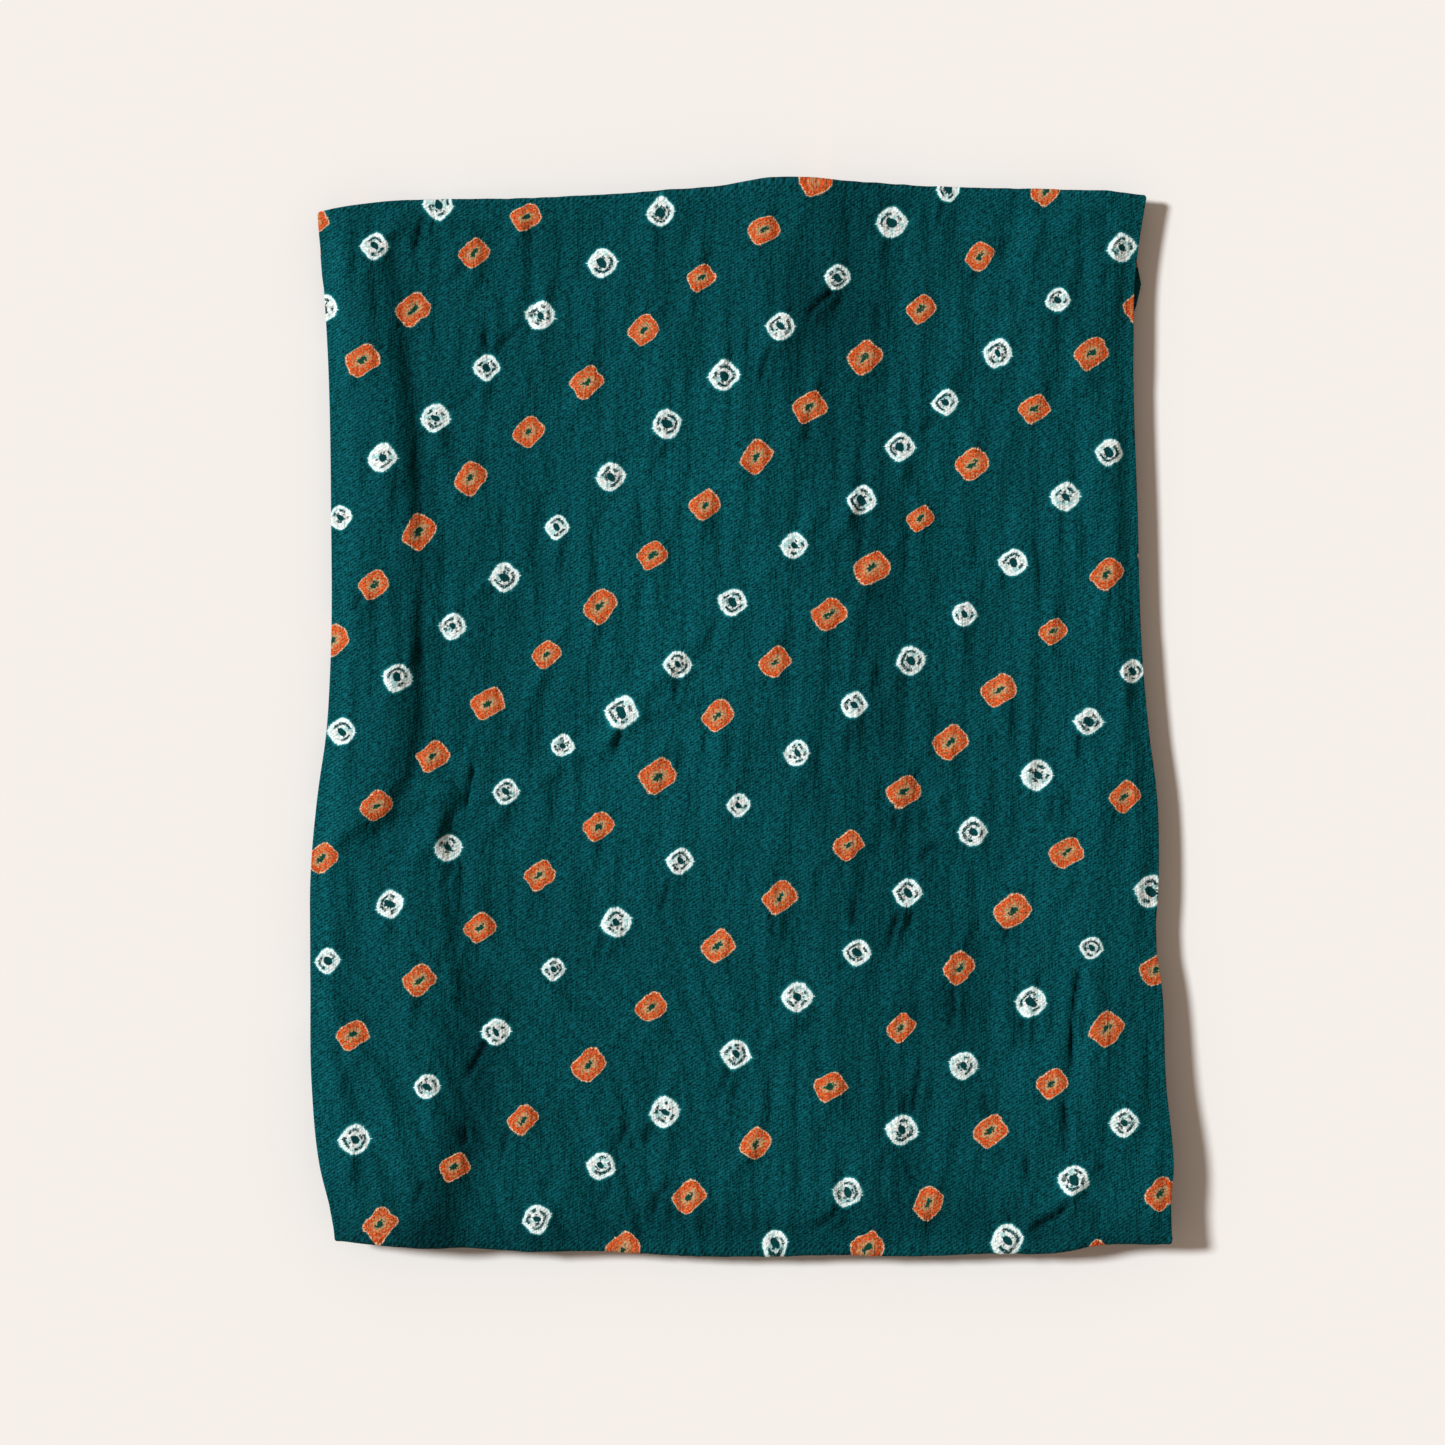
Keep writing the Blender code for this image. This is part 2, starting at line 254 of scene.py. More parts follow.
# Soft zones of painted shade, and of painted light where the share is below nought
PAINTED_SHADE_ZONES = table(
    "name points run share",
    ("middle, far end", ((37, 178), (36, 160), (30, 140)), 30.0, 0.22),
    ("middle, far", ((26, 130), (26, 112), (34, 96)), 30.0, 0.13),
    ("middle", ((44, 74), (47, 40), (47, 0)), 17.0, 0.2),
    ("middle, near", ((44, -30), (50, -90), (58, -150)), 34.0, 0.11),
    ("right of the middle", ((70, -78), (73, -110)), 17.0, 0.16),
    ("left of the middle", ((-18, 84), (-30, 40), (-34, -16)), 62.0, -0.2),
    ("second band, near", ((-88, -92), (-88, -122), (-96, -150), (-104, -172)), 15.0, 0.38),
    (
        "near edge",
        ((-132, -176), (-60, -174), (-28, -168), (20, -173), (46, -166), (132, -174)),
        15.0, 0.25,
    ),
    (
        "foot of the roll",
        ((-117, 160), (-110.5, 105), (-108, 75), (-108, -8), (-114, -25)),
        4.5, 0.3,
    ),
    ("left edge", ((-138, 172), (-136, 60), (-142, -60), (-141, -150)), 10.0, -0.2),
    ("right", ((118, 110), (112, 20), (116, -110)), 20.0, -0.1),
    ("right edge", ((132, 172), (131, 60), (137, -80), (142, -160)), 12.0, -0.12),
)
# The most painted shade and the most painted light that a place gets
MOST_PAINTED_SHADE, MOST_PAINTED_LIGHT = 0.55, -0.4
# How much painted shade darkens a sharp crease
CREASE_PAINTED_SHADE = 0.6

# Rows of ties on the top layer: the kind, and then some of the row's ties by their number in it, across
# and along the cloth. The others lie on a smooth curve between those
WHITE, ORANGE = 1, 2
TIE_ROWS = (
    (ORANGE, (0, -144.5, 166), (1, -157, 152)),
    (WHITE, (0, -102, 172), (1, -123, 158), (2, -140, 138)),
    (ORANGE, (0, -72, 168), (1, -90, 156), (2, -110, 137), (3, -127, 120)),
    (WHITE, (0, -27, 170), (2, -67, 135), (4, -103, 101), (5, -120, 87), (6, -135, 67)),
    (ORANGE, (0, 25, 180.5), (1, 7, 164), (2, -14, 147), (4, -52, 113), (7, -108, 63), (9, -137, 26)),
    (
        WHITE,
        (0, 69, 178), (1, 50, 166), (2, 32, 148), (4, -6, 115),
        (7, -62, 64), (9, -97, 31), (11, -134, -4),
    ),
    (
        ORANGE,
        (0, 102, 177), (1, 80, 155), (3, 41, 121), (5, 5, 88),
        (8, -47, 38), (10, -85, 5), (13, -141, -47),
    ),
    (
        WHITE,
        (0, 127, 158), (2, 86, 122), (4, 53, 91), (5, 40, 73), (6, 17, 58),
        (9, -40, 2), (10, -60, -9), (12, -98, -43), (14, -138, -81),
    ),
    (
        ORANGE,
        (0, 133, 138), (1, 117, 122), (3, 78, 85), (5, 43, 50), (6, 29, 35),
        (8, -8, 1), (9, -28, -19), (11, -68, -52), (12, -87, -70), (14, -130, -106),
    ),
    (
        WHITE,
        (0, 123, 89), (1, 108, 74), (2, 91, 52), (3, 75, 35), (5, 37, 5),
        (8, -21, -48), (9, -42, -68), (10, -63, -84), (11, -83, -105), (13, -129, -141),
    ),
    (
        ORANGE,
        (0, 122, 49), (2, 86, 10), (5, 36, -42), (6, 13, -60), (7, -8, -76),
        (8, -30, -97), (10, -73, -134), (11, -96, -150), (12, -121, -169),
    ),
    (
        WHITE,
        (0, 131, 16), (2, 99, -19), (4, 56, -58), (5, 39, -78),
        (6, 18, -93), (7, -2, -112), (8, -26, -131), (10, -68, -166.5),
    ),
    (ORANGE, (0, 128, -26), (2, 90, -64), (4, 53, -103), (6, 5, -142), (8, -40, -177)),
    (WHITE, (0, 137, -58), (2, 96, -95), (4, 54, -138), (5, 35, -158), (6, 11, -175)),
    (ORANGE, (0, 139, -84), (2, 104, -122), (3, 83, -138), (4, 62, -162), (5, 42, -177)),
    (WHITE, (0, 128, -135), (1, 111, -154), (2, 88, -174)),
    (ORANGE, (0, 140.5, -159), (1, 118, -179.2)),
    # This one shows where the layer below the top one stands out on the right
    (ORANGE, (0, 133.5, -510), (1, 152, -492)),
)
TIE_JITTER = 0.3
# The same layout goes on over the rest of the cloth, as an even lattice
LATTICE_FROM = (127.6, 158.5)
LATTICE_STEP = (-18.1, -17.1)
LATTICE_ROW_APART = 40.2
LATTICE_JITTER = 1.2
LATTICE_ROWS, LATTICE_PLACES = 80, 150
TIES_APART = 18.0
# Within this of the middle, across and along, every tie is in the table
CHARTED_WITHIN = (138.0, 176.0)
LEAST_SIZE, MOST_SIZE = 0.8, 1.2

# Half sizes of a dot across its own two axes, and the way that its first axis points
Dot = namedtuple("Dot", "long short turn turn_varies size_varies")
DOTS = {WHITE: Dot(4.35, 4.05, 43.0, 8.0, 0.09), ORANGE: Dot(5.2, 4.15, 38.0, 8.0, 0.07)}

# How many cells the mesh has across a ply and round a fold of the plies, and how long a cell is along a
# layer. A cell is a block of fine steps, and where little shows its faces span many of them. Every span
# is a multiple of the finer ones, so that neighbours share their points
PLY_CELLS, PLY_STEPS = 12, 20
ROUND_STEPS = 8
LAYER_CELL, LAYER_STEPS = 13.7, 10
TURN_STEPS = 8
MEDIUM_SPAN = 5
OUTER_FOLD_SPAN, INNER_FOLD_SPAN, TURN_SPAN = 2, 4, 2
COLUMNS = PLY_CELLS * PLY_STEPS
FRACTIONS = np.linspace(0.0, 1.0, COLUMNS + 1)
SHARP_ANGLE = math.radians(60.0)


def smooth_through(places, values, at):
    """A smooth curve through the table's values, read at the given places."""
    order = np.argsort(places)
    places, values = np.array(places, float)[order], np.array(values, float)[order]
    slopes = np.gradient(values, places)
    at = np.clip(at, places[0], places[-1])
    i = np.clip(np.searchsorted(places, at) - 1, 0, len(places) - 2)
    span = places[i + 1] - places[i]
    t = (at - places[i]) / span
    start = (1 + 2 * t) * (1 - t) ** 2 * values[i] + t * (1 - t) ** 2 * span * slopes[i]
    end = t * t * (3 - 2 * t) * values[i + 1] + t * t * (t - 1) * span * slopes[i + 1]
    return start + end


def column(rows, name, at):
    """One named column of a table, as a smooth curve over its first column."""
    return smooth_through([row[0] for row in rows], [getattr(row, name) for row in rows], at)


def ease(t):
    """Rises smoothly from 0 to 1 as t goes from 0 to 1."""
    t = np.clip(t, 0.0, 1.0)
    return t * t * (3 - 2 * t)


def wander(at, waves):
    """How far a wandering edge is off its line."""
    return sum(wave.far * np.sin(at / wave.run + wave.start) for wave in waves)


# The path of the strip's middle surface


def side_edges(y, layer):
    """The left and right edge of a layer at y."""
    toward_far = np.clip((y + HALF_LENGTH) / (2 * HALF_LENGTH), 0.0, 1.0)
    row = LAYERS[layer]
    left = column(SIDES, "left", y) + row.left_near + (row.left_far - row.left_near) * toward_far
    right = column(SIDES, "right", y) - row.right_near - (row.right_far - row.right_near) * toward_far
    if layer != TOP:
        off = wander(y, (Wave(0.5, 13.0, row.phase), Wave(0.3, 5.1, 2.3 * row.phase)))
        left, right = left + off, right + off
    if layer == FIFTH:
        right = right + FIFTH_BULGE_BY * ease(1 - np.abs(y - FIFTH_BULGE_AT) / FIFTH_BULGE_RUN)
    return left, right


def middle_height(x, y, layer):
    """The height of a layer's middle surface at x, y."""
    left, middle, right = [column(HEIGHTS, name, y) for name in ("left", "middle", "right")]
    t = np.clip((x - HEIGHTS_AT[0]) / (HEIGHTS_AT[1] - HEIGHTS_AT[0]), 0.0, 1.0)
    stack = middle + (left - middle) * (1 - ease(2 * t)) + (right - middle) * ease(2 * t - 1)
    # A layer's place in the stack counts the layers below it: all of them only over the bottom one
    over_bottom = 1 - ease((y - BOTTOM_END - STEP_CLEARS) / STEP_RUN)
    over_flap = ease((y - FLAP_END + STEP_RUN) / STEP_RUN)
    over_fifth = FIFTH + over_bottom
    top_place = over_fifth + over_flap
    places = {BOTTOM: 0.0, TOP: top_place, FLAP: over_fifth}
    place = places.get(layer, layer - 1 + over_bottom)
    pitch = STRIP + LEAST_GAP
    slack = np.maximum(stack - STRIP - top_place * pitch, 0.0)
    return STRIP / 2 + place * pitch + slack * (place / top_place) ** SLACK_POWER


def fold_line(turn):
    """For each column, the Y where the straight layers stop and the round of the fold starts."""
    side = 1.0 if turn.end == "far" else -1.0
    left, right = side_edges(side * TURNS_AT, turn.after)
    x = left + (right - left) * FRACTIONS
    reach = side * column(ENDS, turn.end, x) - turn.back_left
    reach = reach - (turn.back_right - turn.back_left) * FRACTIONS
    rise = np.abs(middle_height(x, side * reach, turn.after) - middle_height(x, side * reach, turn.before))
    return side * (reach - rise / 2 - STRIP / 2)


def layer_rows(layer, start, end):
    """Points of a layer's middle surface, in rows from the line where it starts to where it ends."""
    cells = max(round(abs((end - start).mean()) / LAYER_CELL), 1)
    along = np.linspace(0.0, 1.0, cells * LAYER_STEPS + 1)[:, None]
    y = start + (end - start) * along
    left, right = side_edges(y, layer)
    x = left + (right - left) * FRACTIONS
    return np.stack([x, y, middle_height(x, y, layer)], axis=2), cells


def turn_rows(before, after, side):
    """Rows of points round a fold, from the last row of one layer to the first of the next."""
    middle, half = (before + after) / 2, (after - before) / 2
    rows = []
    for step in range(1, TURN_STEPS):
        angle = math.pi * step / TURN_STEPS
        row = middle - half * math.cos(angle)
        row[:, 1] += side * np.abs(half[:, 2]) * math.sin(angle)
        rows.append(row)
    return np.array(rows)


# A stretch of the path is a layer or a turn. It has cells of so many fine rows
Stretch = namedtuple("Stretch", "kind number first cells steps")


def strip_path():
    """The middle surface's rows from the free end under the stack to the tucked one, and its stretches."""
    folds = [fold_line(turn) for turn in TURNS]
    starts = [BOTTOM_END + BOTTOM_END_SKEW * (FRACTIONS - 0.5)] + folds
    ends = folds + [FLAP_END - FLAP_END_SKEW * FRACTIONS]
    blocks, stretches, first = [], [], 0
    for layer, (start, end) in enumerate(zip(starts, ends)):
        rows, cells = layer_rows(layer, start, end)
        if blocks:
            side = 1.0 if TURNS[layer - 1].end == "far" else -1.0
            blocks.append(turn_rows(blocks[-1][-1], rows[0], side))
            stretches.append(Stretch("turn", layer - 1, first, 1, TURN_STEPS))
            first += TURN_STEPS
        blocks.append(rows)
        stretches.append(Stretch("layer", layer, first, cells, LAYER_STEPS))
        first += cells * LAYER_STEPS
    return np.concatenate(blocks), stretches


def along_path(rows, stretches):
    """How far along the cloth each point of the path is. On the top layer this is the same as its Y."""
    steps = np.hypot(np.diff(rows[:, :, 1], axis=0), np.diff(rows[:, :, 2], axis=0))
    for stretch in stretches:
        if stretch.kind == "layer":
            part = slice(stretch.first, stretch.first + stretch.cells * stretch.steps)
            steps[part] = np.abs(np.diff(rows[:, :, 1], axis=0))[part]
    length = np.concatenate([np.zeros((1, steps.shape[1])), np.cumsum(steps, axis=0)])
    top = next(s for s in stretches if (s.kind, s.number) == ("layer", TOP))
    return length - length[top.first] + rows[top.first, :, 1]


def path_normals(rows):
    """The strip's own upward direction in the YZ plane at each point: up on the top layer."""
    steps = np.diff(rows[:, :, 1:], axis=0)
    size = np.linalg.norm(steps, axis=2, keepdims=True)
    ways = steps / size
    tangents = np.concatenate([ways[:1], ways[:-1] / size[:-1] + ways[1:] / size[1:], ways[-1:]])
    tangents /= np.linalg.norm(tangents, axis=2, keepdims=True)
    return np.stack([-tangents[:, :, 1], tangents[:, :, 0]], axis=2)


# The cross-section of the four plies, as the cloth's own middle line with a side A and a side B.
# It starts at the first selvage, at the right and at the bottom, and ends at the second selvage
Piece = namedtuple("Piece", "name cells steps")
PIECES = (
    Piece("first ply", PLY_CELLS, PLY_STEPS),
    Piece("left fold", 1, ROUND_STEPS),
    Piece("fourth ply", PLY_CELLS, PLY_STEPS),
    Piece("right fold", 1, ROUND_STEPS),
    Piece("third ply", PLY_CELLS, PLY_STEPS),
    Piece("inner fold", 1, ROUND_STEPS),
    Piece("second ply", PLY_CELLS, PLY_STEPS),
)
LINE_STEPS = sum(piece.cells * piece.steps for piece in PIECES)
LOOP = 2 * (LINE_STEPS + 1)
OUTER_ROUND = 1.5 * SHARE
INNER_ROUND = 0.5 * SHARE
FIRST_SELVAGE_BACK, SECOND_SELVAGE_BACK = 1.3, 2.0
INNER_FOLD_BACK = 0.45


def piece_range(name):
    """The first and last step of a piece of the cross-section, on side A."""
    first = 0
    for piece in PIECES:
        if piece.name == name:
            return first, first + piece.cells * piece.steps
        first += piece.cells * piece.steps
    raise ValueError(name)


def section(left, right, at):
    """The cloth's middle line across the strip, for rows with these edges. It gives, for each row and
    step, its X, how far it is over the strip's middle, the direction of side A, and how far it is along
    the cloth's width, which is X itself on the fourth ply."""
    left, right, at = left[:, None], right[:, None], at[:, None]
    selvage_one = right - FIRST_SELVAGE_BACK - wander(at, FIRST_SELVAGE_WAVES)
    selvage_two = right - SECOND_SELVAGE_BACK - wander(at, SECOND_SELVAGE_WAVES)
    left_centre = left + OUTER_ROUND + PLY / 2
    right_centre = right - INNER_ROUND - PLY / 2
    inner_centre = left_centre + INNER_FOLD_BACK + wander(at, INNER_FOLD_WAVES)
    fold = np.linspace(0.0, math.pi, ROUND_STEPS + 1)
    sine, cosine = np.sin(fold), np.cos(fold)
    flat = np.ones(COLUMNS + 1)
    x, up, way_x, way_up = [], [], [], []

    def straight(start, end, height, side):
        x.append(start + (end - start) * FRACTIONS)
        up.append(height * flat)
        way_x.append(0.0 * flat)
        way_up.append(side * flat)

    def round_fold(centre, height, radius, to_side, from_top, outward):
        x.append(centre + to_side * radius * sine)
        up.append(height + from_top * radius * cosine)
        way_x.append(outward * to_side * sine)
        way_up.append(outward * from_top * cosine)

    straight(selvage_one, left_centre, -OUTER_ROUND, -1.0)
    round_fold(left_centre, 0.0, OUTER_ROUND, -1.0, -1.0, 1.0)
    straight(left_centre, right_centre, OUTER_ROUND, 1.0)
    round_fold(right_centre, 2 * INNER_ROUND, INNER_ROUND, 1.0, 1.0, 1.0)
    straight(right_centre, inner_centre, INNER_ROUND, -1.0)
    round_fold(inner_centre, 0.0, INNER_ROUND, -1.0, 1.0, -1.0)
    straight(inner_centre, selvage_two, -INNER_ROUND, 1.0)
    # Each piece starts where the last one ends, so its first step is left out
    x = np.concatenate([x[0]] + [piece[:, 1:] for piece in x[1:]], axis=1)
    rest = [np.concatenate([line[0]] + [piece[1:] for piece in line[1:]]) for line in (up, way_x, way_up)]
    steps = np.hypot(np.diff(x, axis=1), np.diff(rest[0]))
    width = np.concatenate([np.zeros_like(left), np.cumsum(steps, axis=1)], axis=1)
    fourth = piece_range("fourth ply")[0]
    width = width - width[:, fourth : fourth + 1] + left_centre
    return x, *rest, width


# What lifts the top ply: soft folds, creases, puckers round the ties, and the crinkle of the cloth

# The light comes from the upper left, level with the cloth this way
LIGHT_FROM = (-0.966, 0.26)
# The top ply's usual and least lift, and how far in from the side edges it starts and gets its full lift
BASE_LIFT, LEAST_LIFT = 1.2, 0.1
EDGE_STARTS, EDGE_RUN = 0.4, 8.0
# The end folds pull the cloth taut, so that this share of its crinkle is left at them
CALM, CALM_RUN = 0.3, 11.0
# A tie leaves a bump with a dip in its middle, and soft folds run on from it, FAR_SHARE of them to the far
# side. A pair of numbers is a fold's least size and how much more it may be
BUMP_HEIGHT, BUMP_RUN, DIP_DEPTH, DIP_RUN = 0.75, 6.5, 0.5, 2.6
FEWEST_FOLDS, MOST_FOLDS, FAR_SHARE = 2, 4, 0.4
FOLD_LEAN, FOLD_LEAN_VARIES = 14.0, 15.0
FOLD_HEIGHT, FOLD_LENGTH, FOLD_WIDE = (0.45, 0.5), (11.0, 13.0), (1.3, 1.2)
FOLD_STARTS_WITHIN, FOLD_BESIDE_WITHIN = 4.0, 6.0
FOLD_RISE_RUN, FOLD_FALL_SHARE = 4.0, 0.6
PUCKER_ACROSS, PUCKER_ALONG = 18.0, 30.0
# The crinkle is noise in three sizes. The two finer ones run slantwise only in the near left part
Crinkle = namedtuple("Crinkle", "height across along seed")
FINE = Crinkle(0.5, 3.3, 14.0, SEED + 2)
MIDDLING = Crinkle(1.25, 7.4, 31.0, SEED + 3)
COARSE = Crinkle(0.65, 17.0, 38.0, SEED + 4)
MIDDLING_LEVEL = 0.45
SLANT, SLANT_NEAR_OF, SLANT_LEFT_OF, SLANT_FADE = 0.35, -60.0, 20.0, 60.0
NOISE_CELLS = 256


def value_noise(x, y, cell_x, cell_y, seed):
    """Smooth noise from -1 to 1, with its own cell size each way."""
    grid = np.random.default_rng(seed).uniform(-1.0, 1.0, (NOISE_CELLS, NOISE_CELLS))
    u, v = x / cell_x, y / cell_y
    i, j = np.floor(u).astype(int), np.floor(v).astype(int)
    s, t = ease(u - i), ease(v - j)
    before, after = i % NOISE_CELLS, (i + 1) % NOISE_CELLS
    low, high = [
        grid[before, row] * (1 - s) + grid[after, row] * s
        for row in (j % NOISE_CELLS, (j + 1) % NOISE_CELLS)
    ]
    return low * (1 - t) + high * t


def ridge_lift(x, y):
    """The long soft folds. Where two meet, the higher one shows."""
    total = np.zeros(x.shape)
    for row in RIDGES:
        places = np.array(row.crest, float)
        crest = smooth_through(places[:, 1], places[:, 0], y)
        run = np.where(x < crest, row.left_run, row.right_run)
        beyond = np.maximum(np.maximum(places[:, 1].min() - y, y - places[:, 1].max()), 0.0)
        fade = 1 - ease(beyond / row.end_fade)
        off = np.clip(np.abs(x - crest) / run, 0.0, 1.0)
        profile = np.where((x > crest) & row.crisp, 1 - off**CRISP_POWER, ease(1 - off))
        total = np.maximum(total, row.height * profile * fade)
    return total


def from_line(x, y, points):
    """How far each place is from a line through points, how much that offset faces the light, and how far
    along the line it is, as a share of the line's length."""
    nearest, toward, share = np.full(x.shape, np.inf), np.zeros(x.shape), np.zeros(x.shape)
    passed = np.cumsum([0.0] + [math.dist(a, b) for a, b in zip(points, points[1:])])
    for (x0, y0), (x1, y1), before, after in zip(points, points[1:], passed, passed[1:]):
        run_x, run_y = x1 - x0, y1 - y0
        t = np.clip(((x - x0) * run_x + (y - y0) * run_y) / (run_x**2 + run_y**2), 0.0, 1.0)
        off_x, off_y = x - x0 - run_x * t, y - y0 - run_y * t
        away = np.hypot(off_x, off_y)
        facing = (off_x * LIGHT_FROM[0] + off_y * LIGHT_FROM[1]) / np.maximum(away, 1e-6)
        toward = np.where(away < nearest, facing, toward)
        share = np.where(away < nearest, (before + (after - before) * t) / passed[-1], share)
        nearest = np.minimum(nearest, away)
    return nearest, toward, share


def crease_lift(x, y):
    """The short creases."""
    total = np.zeros(x.shape)
    for row in CREASES:
        away, toward, _ = from_line(x, y, row.points)
        run = row.shade + (row.lit - row.shade) * ease(toward + 0.5)
        total += row.height * ease(1 - away / run)
    return total


def sharp_lift(x, y):
    """The sharp creases, each with a low bank on the side away from the light. Gives the lift, and from 0
    to 1 how far each place lies in one."""
    total, inside = np.zeros(x.shape), np.zeros(x.shape)
    for dip, *points in SHARP_CREASES:
        away, toward, share = from_line(x, y, points)
        fade = ease(share / SHARP_STARTS) * ease((1 - share) / SHARP_ENDS)
        crease = fade * np.exp(-((away / SHARP_WIDE) ** 2))
        bank = fade * np.exp(-(((away - BANK_AWAY) / BANK_WIDE) ** 2)) * ease(0.5 - toward)
        total += dip * (BANK_SHARE * bank - crease)
        inside = np.maximum(inside, crease * min(dip, 1.0))
    return total, inside


def pucker_lift(x, y, ties):
    """Each tie leaves a small raised bump, and soft folds run on from it."""
    total = np.zeros(x.shape)
    random = np.random.default_rng(SEED + 1)
    for tie in ties:
        folds = random.integers(FEWEST_FOLDS, MOST_FOLDS + 1)
        leans = np.radians(random.normal(FOLD_LEAN, FOLD_LEAN_VARIES, folds))
        shapes = random.uniform(0.0, 1.0, (folds, 5))
        near = (np.abs(x - tie.across) < PUCKER_ACROSS) & (np.abs(y - tie.along) < PUCKER_ALONG)
        if not near.any():
            continue
        u, v = x[near] - tie.across, y[near] - tie.along
        away = np.hypot(u, v)
        lift = BUMP_HEIGHT * ease(1 - away / BUMP_RUN) - DIP_DEPTH * ease(1 - away / DIP_RUN)
        for lean, (end, reach, width, from_tie, beside) in zip(leans, shapes):
            way = 1.0 if end < FAR_SHARE else -1.0
            along = way * (u * np.sin(lean) + v * np.cos(lean)) - FOLD_STARTS_WITHIN * from_tie
            aside = u * np.cos(lean) - v * np.sin(lean) - FOLD_BESIDE_WITHIN * (beside - 0.5)
            length = FOLD_LENGTH[0] + FOLD_LENGTH[1] * reach
            fade = ease(along / FOLD_RISE_RUN) * ease((length - along) / (FOLD_FALL_SHARE * length))
            height = FOLD_HEIGHT[0] + FOLD_HEIGHT[1] * width
            wide = FOLD_WIDE[0] + FOLD_WIDE[1] * width
            lift += height * fade * np.exp(-((aside / wide) ** 2))
        total[near] += lift
    return total


def crinkle_lift(x, y):
    """The crinkle that runs down the whole cloth."""
    bent = ease((SLANT_NEAR_OF - y) / SLANT_FADE) * ease((SLANT_LEFT_OF - x) / SLANT_FADE)
    slanted = x + SLANT * y * bent
    fine, middling, coarse = [
        size.height * value_noise(place, y, size.across, size.along, size.seed)
        for size, place in ((FINE, slanted), (MIDDLING, slanted), (COARSE, x - SLANT * y))
    ]
    return fine + np.abs(middling) - MIDDLING_LEVEL + coarse


def top_lift(x, y, ties):
    """How far the top ply stands over the plies below it, and how far it lies in a sharp crease."""
    sharp, inside = sharp_lift(x, y)
    loose = sharp + pucker_lift(x, y, ties) + crinkle_lift(x, y)
    from_end = np.minimum(column(ENDS, "far", x) - y, y - column(ENDS, "near", x))
    calm = CALM + (1 - CALM) * ease(from_end / CALM_RUN)
    lift = BASE_LIFT + ridge_lift(x, y) + crease_lift(x, y) + loose * calm
    left, right = column(SIDES, "left", y), column(SIDES, "right", y)
    from_side = np.minimum(x - left, right - x)
    return np.maximum(lift, LEAST_LIFT) * ease((from_side - EDGE_STARTS) / EDGE_RUN), inside


def painted_shade_share(x, y):
    """Painted shade at each place, from MOST_PAINTED_SHADE to MOST_PAINTED_LIGHT; below nought it is
    painted light.
    """
    total = np.zeros(x.shape)
    for row in PAINTED_SHADE_ZONES:
        total += row.share * ease(1 - from_line(x, y, row.points)[0] / row.run)
    return np.clip(total, MOST_PAINTED_LIGHT, MOST_PAINTED_SHADE)


# The ties: where they are on the cloth, across its width and along its length
Tie = namedtuple("Tie", "across along kind seed size turn")


def new_tie(across, along, kind):
    """One tie, with its own small differences."""
    dot = DOTS[kind]
    size = float(np.clip(1.0 + rng.normal(0.0, dot.size_varies), LEAST_SIZE, MOST_SIZE))
    turn = dot.turn + rng.normal(0.0, dot.turn_varies)
    return Tie(across, along, kind, rng.uniform(0.0, 1.0), size, turn)


def charted_ties():
    """The ties of the top layer."""
    ties = []
    for kind, *placed in TIE_ROWS:
        numbers, across, along = zip(*placed)
        every = np.arange(numbers[-1] + 1)
        for place in np.stack([smooth_through(numbers, line, every) for line in (across, along)], axis=1):
            ties.append(new_tie(*(place + rng.normal(0.0, TIE_JITTER, 2)), kind))
    return ties


def tie_tree(ties):
    """The ties by their place on the cloth, to find the nearest one."""
    tree = kdtree.KDTree(len(ties))
    for i, tie in enumerate(ties):
        tree.insert((tie.across, tie.along, 0.0), i)
    tree.balance()
    return tree


def lattice_ties(charted, low, high):
    """The ties of the rest of the cloth, between two corners of its whole sheet."""
    taken = tie_tree(charted)
    ties = []
    step = np.array(LATTICE_STEP)
    for row in range(-LATTICE_ROWS, LATTICE_ROWS + 1):
        start = np.array(LATTICE_FROM) + (row * LATTICE_ROW_APART, 0.0)
        for place in range(-LATTICE_PLACES, LATTICE_PLACES + 1):
            across, along = start + step * place + rng.normal(0.0, LATTICE_JITTER, 2)
            if not (low[0] < across < high[0] and low[1] < along < high[1]):
                continue
            on_top = abs(across) < CHARTED_WITHIN[0] and abs(along) < CHARTED_WITHIN[1]
            if on_top or taken.find((across, along, 0.0))[2] < TIES_APART:
                continue
            ties.append(new_tie(across, along, WHITE if row % 2 == 0 else ORANGE))
    return ties


# The mesh. Its points lie on a fine lattice: steps round the cross-section and rows along the path


def section_cells():
    """The cells round the cross-section: piece, side, first step and number of steps."""
    cells = []
    first = 0
    for side, pieces in (("A", PIECES), ("B", PIECES[::-1])):
        for piece in pieces:
            for _ in range(piece.cells):
                cells.append((piece.name, side, first, piece.steps))
                first += piece.steps
        cells.append(("selvage", side, first, 1))
        first += 1
    return cells


def path_cells(stretches):
    """The cells along the path: stretch, first row and number of rows."""
    return [(s, s.first + s.steps * k, s.steps) for s in stretches for k in range(s.cells)]


TOP_STRETCHES = (("turn", 4), ("layer", TOP), ("turn", 5))
UNDERSIDE = (("fourth ply", BOTTOM), ("first ply", 1))


def steps_taken(cell, stretch):
    """How many fine steps one face of a cell spans, round the cross-section and along the path."""
    name, side, _, cell_steps = cell
    on_top = (stretch.kind, stretch.number) in TOP_STRETCHES
    half_row = stretch.steps // 2
    if name == "selvage":
        return 1, half_row
    if "fold" in name:
        outer = side == "A" and name != "inner fold"
        if outer:
            return OUTER_FOLD_SPAN, 1 if on_top else half_row
        return INNER_FOLD_SPAN, stretch.steps
    if side == "A" and name == "fourth ply" and on_top:
        return 1, 1
    if stretch.kind == "turn":
        shows = side == "A" and name in ("first ply", "fourth ply")
        return (MEDIUM_SPAN, 1) if shows else (cell_steps, TURN_SPAN)
    if side == "A" and (name, stretch.number) in UNDERSIDE:
        return MEDIUM_SPAN, MEDIUM_SPAN
    return cell_steps, stretch.steps


